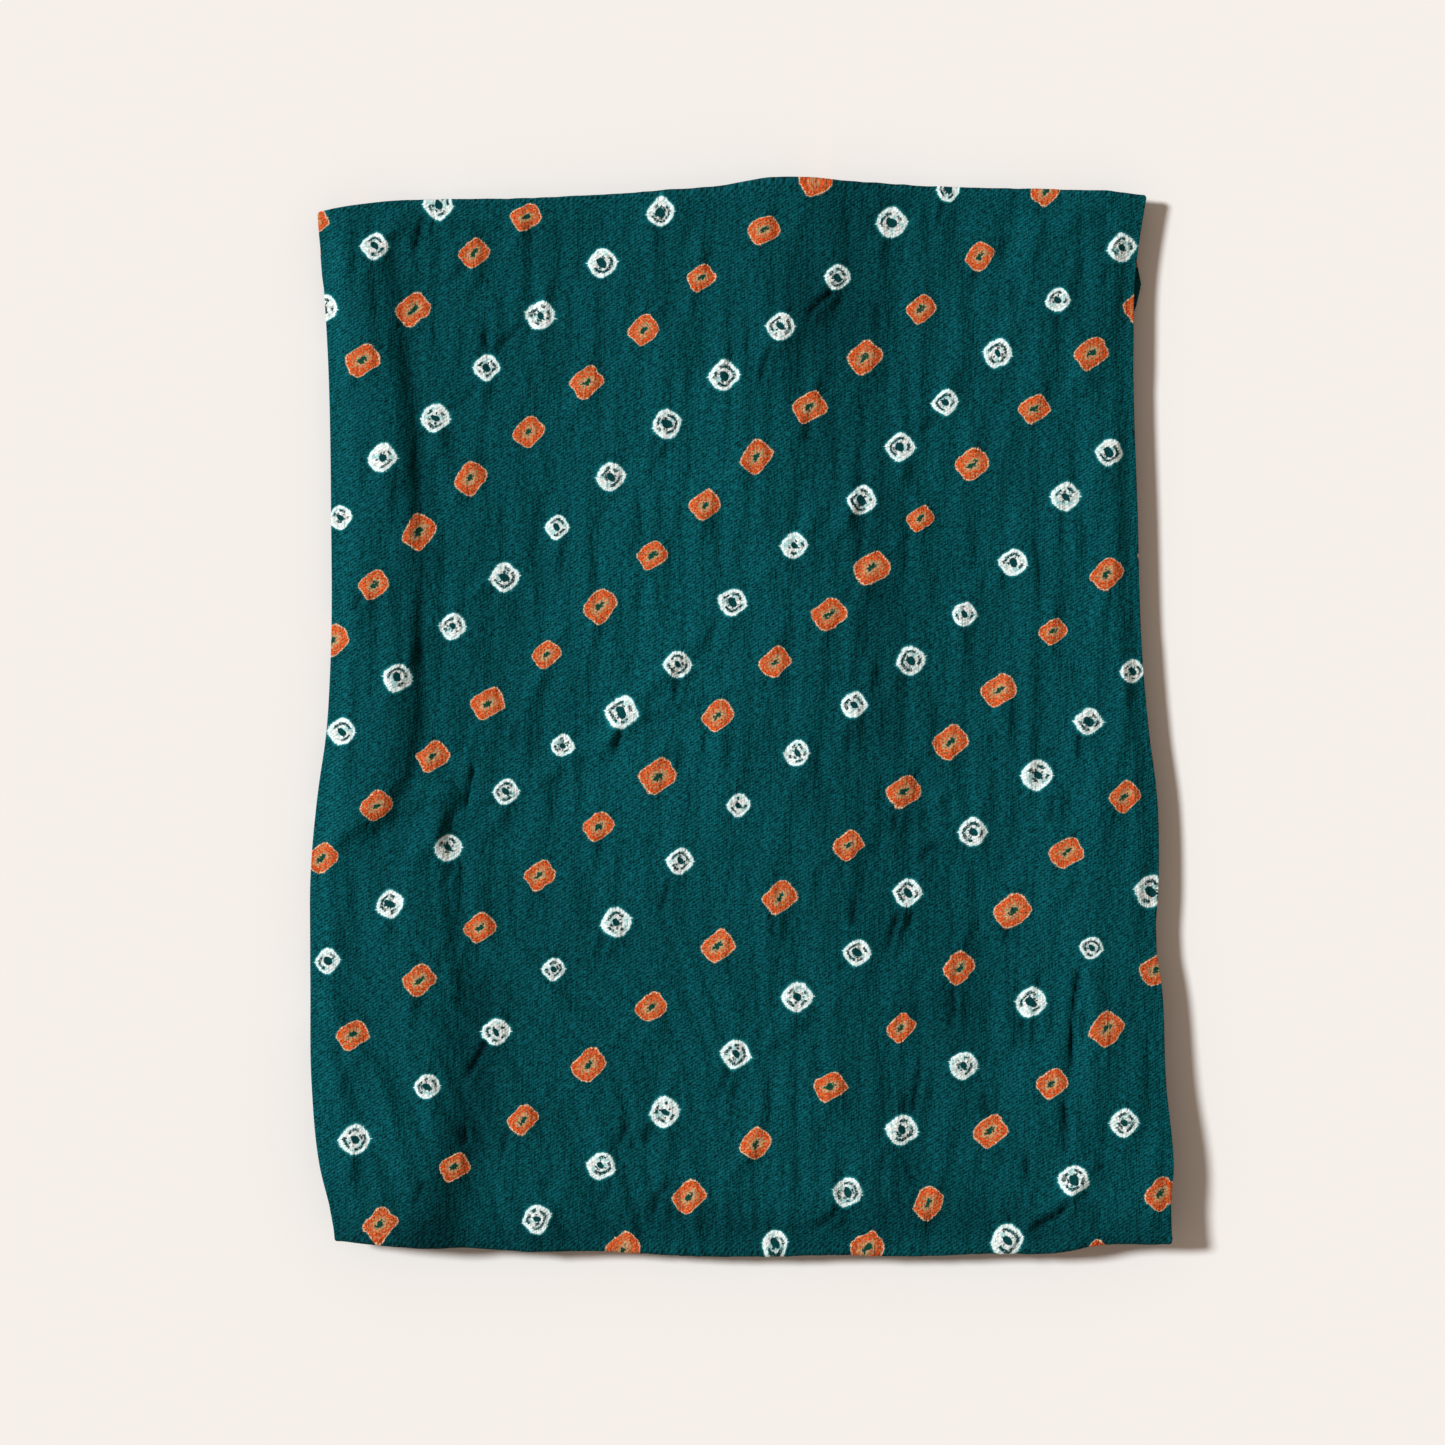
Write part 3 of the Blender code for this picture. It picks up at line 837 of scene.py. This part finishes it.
def sheet_faces(stretches):
    """The faces, each as its corners' places on the fine lattice."""
    across, along = section_cells(), path_cells(stretches)
    faces = []
    for j, (stretch, first_row, row_steps) in enumerate(along):
        for i, cell in enumerate(across):
            _, _, first_step, cell_steps = cell
            own = steps_taken(cell, stretch)
            before = steps_taken(across[i - 1], stretch)[1]
            after = steps_taken(across[(i + 1) % len(across)], stretch)[1]
            below = steps_taken(cell, along[j - 1][0])[0] if j > 0 else own[0]
            above = steps_taken(cell, along[j + 1][0])[0] if j + 1 < len(along) else own[0]
            last_step, last_row = first_step + cell_steps, first_row + row_steps
            for a in range(first_step, last_step, own[0]):
                for b in range(first_row, last_row, own[1]):
                    c, d = a + own[0], b + own[1]
                    near = min(own[0], below) if b == first_row else own[0]
                    far = min(own[0], above) if d == last_row else own[0]
                    low = min(own[1], before) if a == first_step else own[1]
                    high = min(own[1], after) if c == last_step else own[1]
                    face = [(k, b) for k in range(a, c, near)]
                    face += [(c, k) for k in range(b, d, high)]
                    face += [(k, d) for k in range(c, a, -far)]
                    face += [(a, k) for k in range(d, b, -low)]
                    faces.append(face)
    return faces


def end_faces(faces, row, turned):
    """The faces that close the sheet's edge at one end of the strip, from side A to side B."""
    used = sorted({k % LOOP for face in faces for k, r in face if r == row})
    closing = []
    for piece in PIECES:
        first, last = piece_range(piece.name)
        for k in range(piece.cells):
            a, b = first + k * piece.steps, first + (k + 1) * piece.steps
            one = [step for step in used if a <= step <= b]
            two = [step for step in used if LOOP - 1 - b <= step <= LOOP - 1 - a]
            face = [(step, row) for step in one + two]
            closing.append(face[::-1] if turned else face)
    return closing


def lattice_points(rows, stretches, ties):
    """For every point of the fine lattice: its place, how far it is across and along the cloth, and how
    far it lies in a sharp crease."""
    normals = path_normals(rows)
    length = along_path(rows, stretches)
    left, right = rows[:, 0, 0], rows[:, -1, 0]
    middle = rows.shape[1] // 2
    x, up, way_x, way_up, width = section(left, right, length[:, middle])
    half = PLY / 2
    x = np.concatenate([x + half * way_x, (x - half * way_x)[:, ::-1]], axis=1)
    up = np.concatenate([up + half * way_up, (up - half * way_up)[::-1]])
    width = np.concatenate([width, width[:, ::-1]], axis=1)
    # Each point is read off the middle surface's row at its own X, and offset along the normal there
    place = np.clip((x - left[:, None]) / (right - left)[:, None], 0.0, 1.0) * COLUMNS
    low = np.minimum(place.astype(int), COLUMNS - 1)
    share = (place - low)[:, :, None]
    lines = np.arange(len(rows))[:, None]
    base = rows[lines, low] * (1 - share) + rows[lines, low + 1] * share
    normal = normals[lines, low] * (1 - share) + normals[lines, low + 1] * share
    base[:, :, 0] = x
    base[:, :, 1:] += normal * up[None, :, None]
    on_cloth = length[lines, low] * (1 - share[:, :, 0]) + length[lines, low + 1] * share[:, :, 0]
    creased = lift_top(base, normal, stretches, ties)
    return base, width, on_cloth, creased


def lift_top(base, normal, stretches, ties):
    """Raises the top ply, which dies out round the folds at its two ends. Gives how far each point of the
    lattice lies in a sharp crease."""
    creased = np.zeros(base.shape[:2])
    first, last = piece_range("fourth ply")
    ply = slice(first, last + 1)
    near, top, far = [s for s in stretches if (s.kind, s.number) in TOP_STRETCHES]
    rows = slice(top.first, far.first + 1)
    lift, creased[rows, ply] = top_lift(base[rows, ply, 0], base[rows, ply, 1], ties)
    base[rows, ply, 1:] += normal[rows, ply] * lift[:, :, None]
    for stretch, edge in ((near, lift[0]), (far, lift[-1])):
        for step in range(1, TURN_STEPS):
            angle = math.pi * step / TURN_STEPS
            fade = max(math.cos(angle) * (-1.0 if stretch is near else 1.0), 0.0)
            row = stretch.first + step
            base[row, ply, 1:] += normal[row, ply] * (edge * fade)[:, None]
    return creased


# Where each part of the sheet lies in the flat map named OFBake
TOP_MAP = (0.004, 0.772)
UNDER_MAP = (0.782, 0.896)
UNDER_SPANS = ((0.004, 0.34), (0.35, 0.996))
REST_MAP = (0.904, 0.996)
REST_SPAN = (0.028, 0.972)
MAP_LOW, MAP_HIGH = 0.004, 0.996
END_MAP = 0.008
# In the rest's band, the parts of the cross-section that show get more room than those that don't
OUTER_FOLD_ROOM, INNER_FOLD_ROOM, SELVAGE_ROOM, PLY_ROOM = 8.0, 1.5, 2.0, 0.5


def rest_positions():
    """Places across the rest's band for the steps of the cross-section."""
    rooms = np.zeros(LOOP)
    for name, side, first, steps in section_cells():
        room = SELVAGE_ROOM if name == "selvage" else PLY_ROOM
        if "fold" in name:
            room = OUTER_FOLD_ROOM if side == "A" and name != "inner fold" else INNER_FOLD_ROOM
        rooms[first : first + steps] = room / steps
    places = np.concatenate([[0.0], np.cumsum(rooms)])
    return places / places[-1]


def bake_map(mesh, corner_step, corner_row, width, on_cloth, face_of_corner, stretches):
    """Lays the sheet out flat: the top large, the underside small, and the rest as one narrow band."""
    step = corner_step % LOOP
    across, along = width[corner_row, step], on_cloth[corner_row, step]
    rest_wide = REST_MAP[1] - REST_MAP[0]
    u = REST_MAP[0] + rest_wide * rest_positions()[corner_step]
    v = REST_SPAN[0] + (REST_SPAN[1] - REST_SPAN[0]) * (along - on_cloth.min()) / np.ptp(on_cloth)
    faces = face_of_corner.max() + 1
    low_step, low_row = np.full((2, faces), LOOP * len(on_cloth))
    high_step, high_row = np.zeros((2, faces), int)
    for lowest, highest, of_corner in ((low_step, high_step, corner_step), (low_row, high_row, corner_row)):
        np.minimum.at(lowest, face_of_corner, of_corner)
        np.maximum.at(highest, face_of_corner, of_corner)

    def within(name, first_row, last_row):
        first, last = piece_range(name)
        inside = (low_step >= first) & (high_step <= last) & (low_row >= first_row)
        return (inside & (high_row <= last_row))[face_of_corner]

    near, _, far = [s for s in stretches if (s.kind, s.number) in TOP_STRETCHES]
    on_top = within("fourth ply", near.first, far.first + far.steps)
    lay_out(u, v, across, along, on_top, TOP_MAP, (MAP_LOW, MAP_HIGH))
    by_place = {(s.kind, s.number): s for s in stretches}
    for (name, layer), span in zip(UNDERSIDE, UNDER_SPANS):
        stretch = by_place[("layer", layer)]
        part = within(name, stretch.first, stretch.first + stretch.cells * stretch.steps)
        lay_out(u, v, across, along, part, UNDER_MAP, span)
    # The two ends of the strip, each as a thin line of its own
    ends = (low_row == high_row)[face_of_corner]
    line = np.where(corner_row == 0, MAP_LOW, MAP_HIGH - END_MAP)
    back = np.where(step > LINE_STEPS, LOOP - 1 - step, step)
    u[ends] = (REST_MAP[0] + rest_wide * back / LINE_STEPS)[ends]
    v[ends] = (line + END_MAP * (step > LINE_STEPS))[ends]
    store_map(mesh, "OFBake", u, v)


def lay_out(u, v, across, along, part, across_map, along_map):
    """Stretches one part of the cloth over a rectangle of the map."""
    for line, values, (low, high) in ((u, across, across_map), (v, along, along_map)):
        least, most = values[part].min(), values[part].max()
        line[part] = low + (high - low) * (values[part] - least) / (most - least)


def store_map(mesh, name, u, v):
    """Keeps two numbers for each corner as a map of the mesh."""
    layer = mesh.uv_layers.new(name=name)
    layer.data.foreach_set("uv", np.stack([u, v], axis=1).astype(np.float32).ravel())


def store_ties(mesh, ties, across, along, face_of_corner):
    """Gives each face its nearest tie: the corners' offsets from it on the dot's own axes, where 1 is the
    dot's edge, and the tie's kind and seed."""
    tree = tie_tree(ties)
    counts = np.bincount(face_of_corner)
    middle_across = np.bincount(face_of_corner, across) / counts
    middle_along = np.bincount(face_of_corner, along) / counts
    nearest = [tree.find((a, b, 0.0))[1] for a, b in zip(middle_across, middle_along)]
    table = np.array([(t.across, t.along, t.kind, t.seed, t.size, math.radians(t.turn)) for t in ties])
    halves = np.array([(DOTS[t.kind].long, DOTS[t.kind].short) for t in ties])
    face_ties = table[nearest]
    own, half = face_ties[face_of_corner], halves[nearest][face_of_corner]
    off_x, off_y = across - own[:, 0], along - own[:, 1]
    cosine, sine = np.cos(own[:, 5]), np.sin(own[:, 5])
    u = (off_x * cosine + off_y * sine) / (half[:, 0] * own[:, 4])
    v = (off_y * cosine - off_x * sine) / (half[:, 1] * own[:, 4])
    store_map(mesh, "tie offset", u, v)
    attribute = mesh.attributes.new("tie", "FLOAT_VECTOR", "FACE")
    values = np.stack([face_ties[:, 2], face_ties[:, 3], face_ties[:, 4]], axis=1)
    attribute.data.foreach_set("vector", values.astype(np.float32).ravel())


def folded_sheet():
    """The whole cloth as one closed mesh."""
    rows, stretches = strip_path()
    charted = charted_ties()
    points, width, on_cloth, creased = lattice_points(rows, stretches, charted)
    faces = sheet_faces(stretches)
    last_row = len(rows) - 1
    faces += end_faces(faces, 0, True) + end_faces(faces, last_row, False)
    corners = np.array([corner for face in faces for corner in face])
    face_of_corner = np.repeat(np.arange(len(faces)), [len(face) for face in faces])
    keys = corners[:, 1] * LOOP + corners[:, 0] % LOOP
    used, vertex_of_corner = np.unique(keys, return_inverse=True)
    vertices = points[used // LOOP, used % LOOP] * MM
    starts = np.concatenate([[0], np.cumsum([len(face) for face in faces])])
    polygons = [vertex_of_corner[a:b].tolist() for a, b in zip(starts, starts[1:])]
    mesh = bpy.data.meshes.new("folded_bandhani")
    mesh.from_pydata(vertices.tolist(), [], polygons)
    # This point attribute holds painted shade and painted light: darker and paler zones, and darker sharp
    # creases
    depth = painted_shade_share(vertices[:, 0] / MM, vertices[:, 1] / MM)
    depth += CREASE_PAINTED_SHADE * creased[used // LOOP, used % LOOP]
    mesh.attributes.new("painted_shade_and_light", "FLOAT", "POINT").data.foreach_set("value", depth.astype(np.float32))
    across = width[corners[:, 1], corners[:, 0] % LOOP]
    along = on_cloth[corners[:, 1], corners[:, 0] % LOOP]
    store_map(mesh, "cloth", across, along)
    ties = charted + lattice_ties(charted, (across.min(), along.min()), (across.max(), along.max()))
    store_ties(mesh, ties, across, along, face_of_corner)
    bake_map(mesh, corners[:, 0], corners[:, 1], width, on_cloth, face_of_corner, stretches)
    mesh.shade_smooth()
    mesh.set_sharp_from_angle(angle=SHARP_ANGLE)
    cloth = bpy.data.objects.new("folded_bandhani", mesh)
    bpy.context.scene.collection.objects.link(cloth)
    return cloth, float(np.ptp(on_cloth[:, LINE_STEPS // 2]))


# Materials. The twill lines are drawn 1 mm apart, about twice as coarse as the real ones, so that they show
TWILL_APART = 1.0
TWILL_ACROSS = (-0.53, 0.85, 0.0)
# A dot's outline lies between a circle, at 2, and a square, and an orange dot is squarer by so much
SQUARENESS, ORANGE_SQUARER = 2.7, 1.1
# The dyed strokes in an undyed dot lie on two rings: how far out, how wide with and without the ring's soft
# edge, the scale of the noise that breaks it into strokes, and where that noise is cut
Ring = namedtuple("Ring", "out soft full scale cut")
RINGS = (Ring(0.63, 0.13, 0.085, 0.95, 0.46), Ring(0.38, 0.12, 0.06, 1.7, 0.55))
CUT_SOFT = 0.04
# Settings that many nodes share
SMOOTH = {"interpolation_type": "SMOOTHSTEP"}
COLOURS = {"output": 2, "data_type": "RGBA"}


def linear(hex_colour):
    """An sRGB hex colour as linear RGBA."""
    channels = [int(hex_colour[i : i + 2], 16) / 255 for i in (1, 3, 5)]
    return (*[((c + 0.055) / 1.055) ** 2.4 if c > 0.04045 else c / 12.92 for c in channels], 1.0)


def add(tree, kind, *feeds, inputs=None, output=0, **settings):
    """Adds a node. The feeds are values or links for its inputs in turn, inputs gives others by name or
    number, and settings are the node's own. Returns one of its outputs."""
    node = tree.nodes.new("ShaderNode" + kind)
    for name, value in settings.items():
        setattr(node, name, value)
    for place, feed in {**dict(enumerate(feeds)), **(inputs or {})}.items():
        if isinstance(feed, bpy.types.NodeSocket):
            tree.links.new(feed, node.inputs[place])
        elif feed is not None:
            node.inputs[place].default_value = feed
    return node.outputs[output]


def new_material(name):
    """A material with an empty node tree and its output node."""
    material = bpy.data.materials.new(name)
    material.use_nodes = True
    tree = material.node_tree
    tree.nodes.clear()
    return material, tree, tree.nodes.new("ShaderNodeOutputMaterial")


def thread_relief(node, cloth):
    """Twill lines that rise to the right, broken up by slubs in the two thread directions. Gives their
    relief, and the grain of the slubs by itself."""
    slub = node("TexNoise", cloth, inputs={"Scale": 0.8, "Detail": 2.0, "Roughness": 0.6})
    slant = node("VectorMath", cloth, TWILL_ACROSS, operation="DOT_PRODUCT", output=1)
    slant = node("Math", slub, 0.8, slant, operation="MULTIPLY_ADD")
    line = node("Math", slant, 2 * math.pi / TWILL_APART, operation="MULTIPLY")
    line = node("Math", line, operation="SINE")
    warp, weft = [
        node(
            "TexNoise",
            node("VectorMath", cloth, cells, operation="MULTIPLY"),
            inputs={"Scale": 1.0, "Detail": 2.0, "Roughness": 0.7},
        )
        for cells in ((1.9, 0.55, 1.0), (0.5, 2.1, 1.0))
    ]
    grain = node("MapRange", node("Math", warp, weft, operation="ADD"), 0.8, 1.2, **SMOOTH)
    relief = node("Math", grain, 0.64, 0.18, operation="MULTIPLY_ADD")
    return node("Math", line, 0.24, relief, operation="MULTIPLY_ADD"), grain


def dot_reach(node, cloth, offset, relief, is_orange):
    """How far out each place is in its dot, where 1 is the edge. The edge is ragged, because the dye crept
    along single threads, and a white dot has a short spike at its left and right corners. Gives also the
    ragged offset from the tie, and the finer noise in it."""
    fine, broad = [
        node(
            "VectorMath",
            node("TexNoise", cloth, inputs={"Scale": scale, "Detail": 1.0}, output=1),
            (0.5, 0.5, 0.5),
            operation="SUBTRACT",
        )
        for scale in (1.3, 0.24)
    ]
    place = node("VectorMath", broad, (0.36, 0.36, 0.0), offset, operation="MULTIPLY_ADD")
    place = node("VectorMath", fine, (0.13, 0.13, 0.0), place, operation="MULTIPLY_ADD")
    square = node("Math", is_orange, ORANGE_SQUARER, SQUARENESS, operation="MULTIPLY_ADD")
    u, v = [node("Math", node("SeparateXYZ", place, output=axis), operation="ABSOLUTE") for axis in (0, 1)]
    u, v = [node("Math", size, square, operation="POWER") for size in (u, v)]
    root = node("Math", 1.0, square, operation="DIVIDE")
    reach = node("Math", node("Math", u, v, operation="ADD"), root, operation="POWER")
    corners = ((0.57, -0.57, 0.0), (1.6, 1.6, 0.0))
    level, upright = [node("VectorMath", place, way, operation="DOT_PRODUCT", output=1) for way in corners]
    level, upright = [node("Math", off, operation="ABSOLUTE") for off in (level, upright)]
    spike = node("Math", level, node("Math", upright, is_orange, operation="ADD"), operation="ADD")
    reach = node("Math", reach, spike, operation="MINIMUM")
    reach = node("Math", relief, 0.08, reach, operation="MULTIPLY_ADD")
    return node("Math", reach, 0.04, operation="SUBTRACT"), place, fine


def undyed_dot(node, cloth, reach, place, way, seed, grain):
    """An undyed dot: a crisp rim, a dull grainy inside, a dyed hole and dyed strokes round it."""
    dull = node("TexNoise", cloth, inputs={"Scale": 0.9, "Detail": 3.0, "Roughness": 0.7})
    dull = node("MapRange", dull, 0.42, 0.62, **SMOOTH)
    tint = node("TexNoise", cloth, inputs={"Scale": 0.45, "Detail": 2.0})
    tint = node("MapRange", tint, 0.46, 0.64, 0.0, 0.75, **SMOOTH)
    rim = node("MapRange", reach, 0.76, 0.86, **SMOOTH)
    rings = []
    for row in RINGS:
        arc = node("TexNoise", way, inputs={"Scale": row.scale, "Detail": 0.0})
        arc = node("MapRange", arc, row.cut, row.cut + CUT_SOFT, **SMOOTH)
        ring = node("Math", node("Math", reach, row.out, operation="SUBTRACT"), operation="ABSOLUTE")
        ring = node("MapRange", ring, row.soft, row.full, **SMOOTH)
        rings.append(node("Math", ring, arc, operation="MULTIPLY"))
    strokes = node("Math", *rings, operation="MAXIMUM")
    broken = node("MapRange", grain, 0.05, 0.4, 0.5, 1.0, **SMOOTH)
    strokes = node("Math", strokes, broken, operation="MULTIPLY")
    size = node("Math", seed, 0.13, 0.25, operation="MULTIPLY_ADD")
    hole = node("VectorMath", place, (1.15, 0.8, 0.0), operation="MULTIPLY")
    hole = node("VectorMath", hole, operation="LENGTH", output=1)
    hole = node("MapRange", node("Math", hole, size, operation="SUBTRACT"), 0.04, -0.03, **SMOOTH)
    dyed = node("Math", strokes, hole, operation="MAXIMUM")
    white = linear("#eff3ee")
    for share, over in ((dull, "#c6cac3"), (tint, "#8ecac7"), (rim, "#e4f6f3"), (dyed, "#063d3f")):
        white = node("Mix", inputs={0: share, 6: white, 7: linear(over)}, **COLOURS)
    return white


def orange_dot(node, cloth, reach, place, fine):
    """An orange dot: a speckled fill, a thin pale broken outline and a dark streak along the middle."""
    speck = node("TexNoise", cloth, inputs={"Scale": 1.7, "Detail": 2.0, "Roughness": 0.75})
    brown = node("MapRange", speck, 0.42, 0.58, **SMOOTH)
    gaps = node("MapRange", speck, 0.6, 0.48, 0.3, 1.0, **SMOOTH)
    sand = node("TexNoise", cloth, inputs={"Scale": 1.2, "Detail": 3.0, "Roughness": 0.8})
    sand = node("Math", sand, node("MapRange", reach, 0.8, 0.2, 0.0, 0.09), operation="ADD")
    sand = node("MapRange", sand, 0.52, 0.61, 0.0, 0.9, **SMOOTH)
    outline = node("MapRange", reach, 0.93, 0.97, **SMOOTH)
    outline = node("Math", outline, gaps, operation="MULTIPLY")
    streak = node("VectorMath", fine, (0.5, 0.5, 0.0), place, operation="MULTIPLY_ADD")
    streak = node("VectorMath", streak, (3.0, 4.8, 0.0), operation="MULTIPLY")
    streak = node("VectorMath", streak, operation="LENGTH", output=1)
    border = node("MapRange", streak, 2.1, 1.2, 0.0, 0.6, **SMOOTH)
    border = node("Math", border, gaps, operation="MULTIPLY")
    streak = node("MapRange", streak, 1.2, 0.85, **SMOOTH)
    orange = linear("#ec531c")
    for share, over in (
        (brown, "#96421f"),
        (sand, "#bd9162"),
        (outline, "#eec8a2"),
        (border, "#b8b285"),
        (streak, "#104435"),
    ):
        orange = node("Mix", inputs={0: share, 6: orange, 7: linear(over)}, **COLOURS)
    return orange


def small_creases(node, offset, way):
    """Sharp little creases that run out from each tie, most of them towards the far right and near left."""
    crease = node("TexNoise", way, inputs={"Scale": 1.1, "Detail": 0.0})
    crease = node("Math", node("Math", crease, 0.5, operation="SUBTRACT"), operation="ABSOLUTE")
    crease = node("MapRange", crease, 0.05, 0.0, **SMOOTH)
    steep = node("VectorMath", offset, operation="NORMALIZE")
    steep = node("VectorMath", steep, (0.71, 0.71, 0.0), operation="DOT_PRODUCT", output=1)
    steep = node("MapRange", node("Math", steep, operation="ABSOLUTE"), 0.3, 0.75)
    spread = node("VectorMath", offset, operation="LENGTH", output=1)
    begins = node("MapRange", spread, 0.75, 1.15, **SMOOTH)
    ends = node("MapRange", spread, 2.2, 1.2, **SMOOTH)
    for share in (steep, begins, ends):
        crease = node("Math", crease, share, operation="MULTIPLY")
    return crease


def teal_ground(node, cloth, reach, relief, creases, is_white):
    """The teal ground, in threads of different depth, with random patches of tone, painted shade and
    painted light in some places and painted shade in the creases. It is paler round a white dot, where the
    dye was held off."""
    ground = node("Mix", inputs={0: relief, 6: linear("#00191b"), 7: linear("#0a5a60")}, **COLOURS)
    patchy = node("TexNoise", cloth, inputs={"Scale": 0.04, "Detail": 3.0})
    patchy = node("MapRange", patchy, 0.3, 0.7, -0.06, 0.06)
    # The attribute's painted shade and light, random tone and painted crease shade scale the ground
    depth = node("Math", node("Attribute", attribute_name="painted_shade_and_light", output=2), patchy, operation="ADD")
    depth = node("Math", creases, 0.22, depth, operation="MULTIPLY_ADD")
    depth = node("Math", 1.0, depth, operation="SUBTRACT")
    ground = node("VectorMath", ground, inputs={3: depth}, operation="SCALE")
    halo = node("MapRange", reach, 1.2, 1.0, 0.0, 0.55, **SMOOTH)
    halo = node("Math", halo, is_white, operation="MULTIPLY")
    return node("Mix", inputs={0: halo, 6: ground, 7: linear("#1f8f92")}, **COLOURS)


def dyed_twill():
    """Rayon twill, tied in hundreds of pinches and dyed orange and teal: matt, slubby and a little dull,
    with small undyed rings where the threads of the ties were."""
    material, tree, out = new_material("dyed_rayon_twill")
    node = partial(add, tree)
    cloth = node("UVMap", uv_map="cloth")
    offset = node("UVMap", uv_map="tie offset")
    tie = node("Attribute", attribute_name="tie", output=1)
    seed = node("SeparateXYZ", tie, output=1)
    is_orange = node("Math", node("SeparateXYZ", tie, output=0), 1.5, operation="GREATER_THAN")
    is_white = node("Math", 1.0, is_orange, operation="SUBTRACT")
    # The way out from the nearest tie, shifted by the tie's seed so that each tie has noise of its own
    own = node("VectorMath", tie, (0.0, 37.0, 0.0), operation="MULTIPLY")
    way = node("VectorMath", node("VectorMath", offset, operation="NORMALIZE"), own, operation="ADD")

    relief, grain = thread_relief(node, cloth)
    reach, place, fine = dot_reach(node, cloth, offset, relief, is_orange)
    white = undyed_dot(node, cloth, reach, place, way, seed, grain)
    orange = orange_dot(node, cloth, reach, place, fine)
    creases = small_creases(node, offset, way)
    ground = teal_ground(node, cloth, reach, relief, creases, is_white)

    dots = node("Mix", inputs={0: is_orange, 6: white, 7: orange}, **COLOURS)
    shade = node("MapRange", relief, 0.0, 1.0, 0.7, 1.12)
    dots = node("VectorMath", dots, inputs={3: shade}, operation="SCALE")
    inside = node("MapRange", reach, 1.04, 0.97, **SMOOTH)
    colour = node("Mix", inputs={0: inside, 6: ground, 7: dots}, **COLOURS)
    # The finest crinkle of the cloth, which is too fine for the mesh
    crinkle = node("VectorMath", cloth, (0.62, 0.11, 1.0), operation="MULTIPLY")
    crinkle = node("TexNoise", crinkle, inputs={"Scale": 1.0, "Detail": 2.0, "Roughness": 0.55})
    folds = node("Math", creases, -0.35, crinkle, operation="MULTIPLY_ADD")
    folds = node("Bump", inputs={"Strength": 0.8, "Distance": 0.9 * MM, "Height": folds})
    bump = node("Bump", inputs={"Strength": 0.7, "Distance": 0.16 * MM, "Height": relief, "Normal": folds})
    finish = {"Base Color": colour, "Roughness": 0.9, "Specular IOR Level": 0.03, "Normal": bump}
    shader = node("BsdfPrincipled", inputs=finish)
    tree.links.new(shader, out.inputs["Surface"])
    return material


def plain_floor():
    """Matt card: no pattern and no shine, so that only the cloth's shadow shows on it."""
    material, tree, out = new_material("matt_card")
    finish = {"Base Color": linear("#ebe6e1"), "Roughness": 0.95, "Specular IOR Level": 0.0}
    shader = add(tree, "BsdfPrincipled", inputs=finish)
    tree.links.new(shader, out.inputs["Surface"])
    return material


# Floor, light and camera

FLOOR_SIZE = 12.0
CAMERA_AT = (-6.5 * MM, -1.2 * MM, 2.01)
VIEW_WIDTH, VIEW_HEIGHT_OVER_FLOOR = 0.484, 0.01
SENSOR = 36.0
LIGHT_UP = math.radians(43.0)
SUN_ANGLE = math.radians(10.0)
SUN_STRENGTH, SUN_COLOUR = 4.08, (0.89, 0.95, 1.0)
AMBIENT = (0.327, 0.259, 0.2125, 1.0)


def floor():
    """A pale card, far larger than the view."""
    bpy.ops.object.select_all(action="DESELECT")
    bpy.ops.mesh.primitive_plane_add(size=FLOOR_SIZE)
    card = bpy.context.object
    card.name = "floor"
    card.data.materials.append(plain_floor())


def light():
    """A big soft lamp from the upper left, and the room's own light."""
    level = Vector((*LIGHT_FROM, 0.0)).normalized() * math.cos(LIGHT_UP)
    toward = Vector((level.x, level.y, math.sin(LIGHT_UP)))
    sun = bpy.data.lights.new("key", "SUN")
    sun.energy, sun.color, sun.angle = SUN_STRENGTH, SUN_COLOUR, SUN_ANGLE
    lamp = bpy.data.objects.new("key", sun)
    lamp.rotation_euler = toward.to_track_quat("Z", "Y").to_euler()
    bpy.context.scene.collection.objects.link(lamp)
    world = bpy.data.worlds.new("room")
    world.use_nodes = True
    world.node_tree.nodes["Background"].inputs["Color"].default_value = AMBIENT
    bpy.context.scene.world = world


def camera():
    """Straight above the cloth, as far up as the photo's flat view suggests."""
    lens = bpy.data.cameras.new("camera")
    lens.sensor_width = SENSOR
    lens.lens = SENSOR * (CAMERA_AT[2] - VIEW_HEIGHT_OVER_FLOOR) / VIEW_WIDTH
    eye = bpy.data.objects.new("camera", lens)
    eye.location = CAMERA_AT
    bpy.context.scene.collection.objects.link(eye)
    bpy.context.scene.camera = eye
    bpy.context.scene.view_settings.view_transform = "Standard"


floor()
light()
camera()
sheet, strip_length = folded_sheet()
sheet.data.materials.append(dyed_twill())
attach(sheet, "root")
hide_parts("folded_cloth")
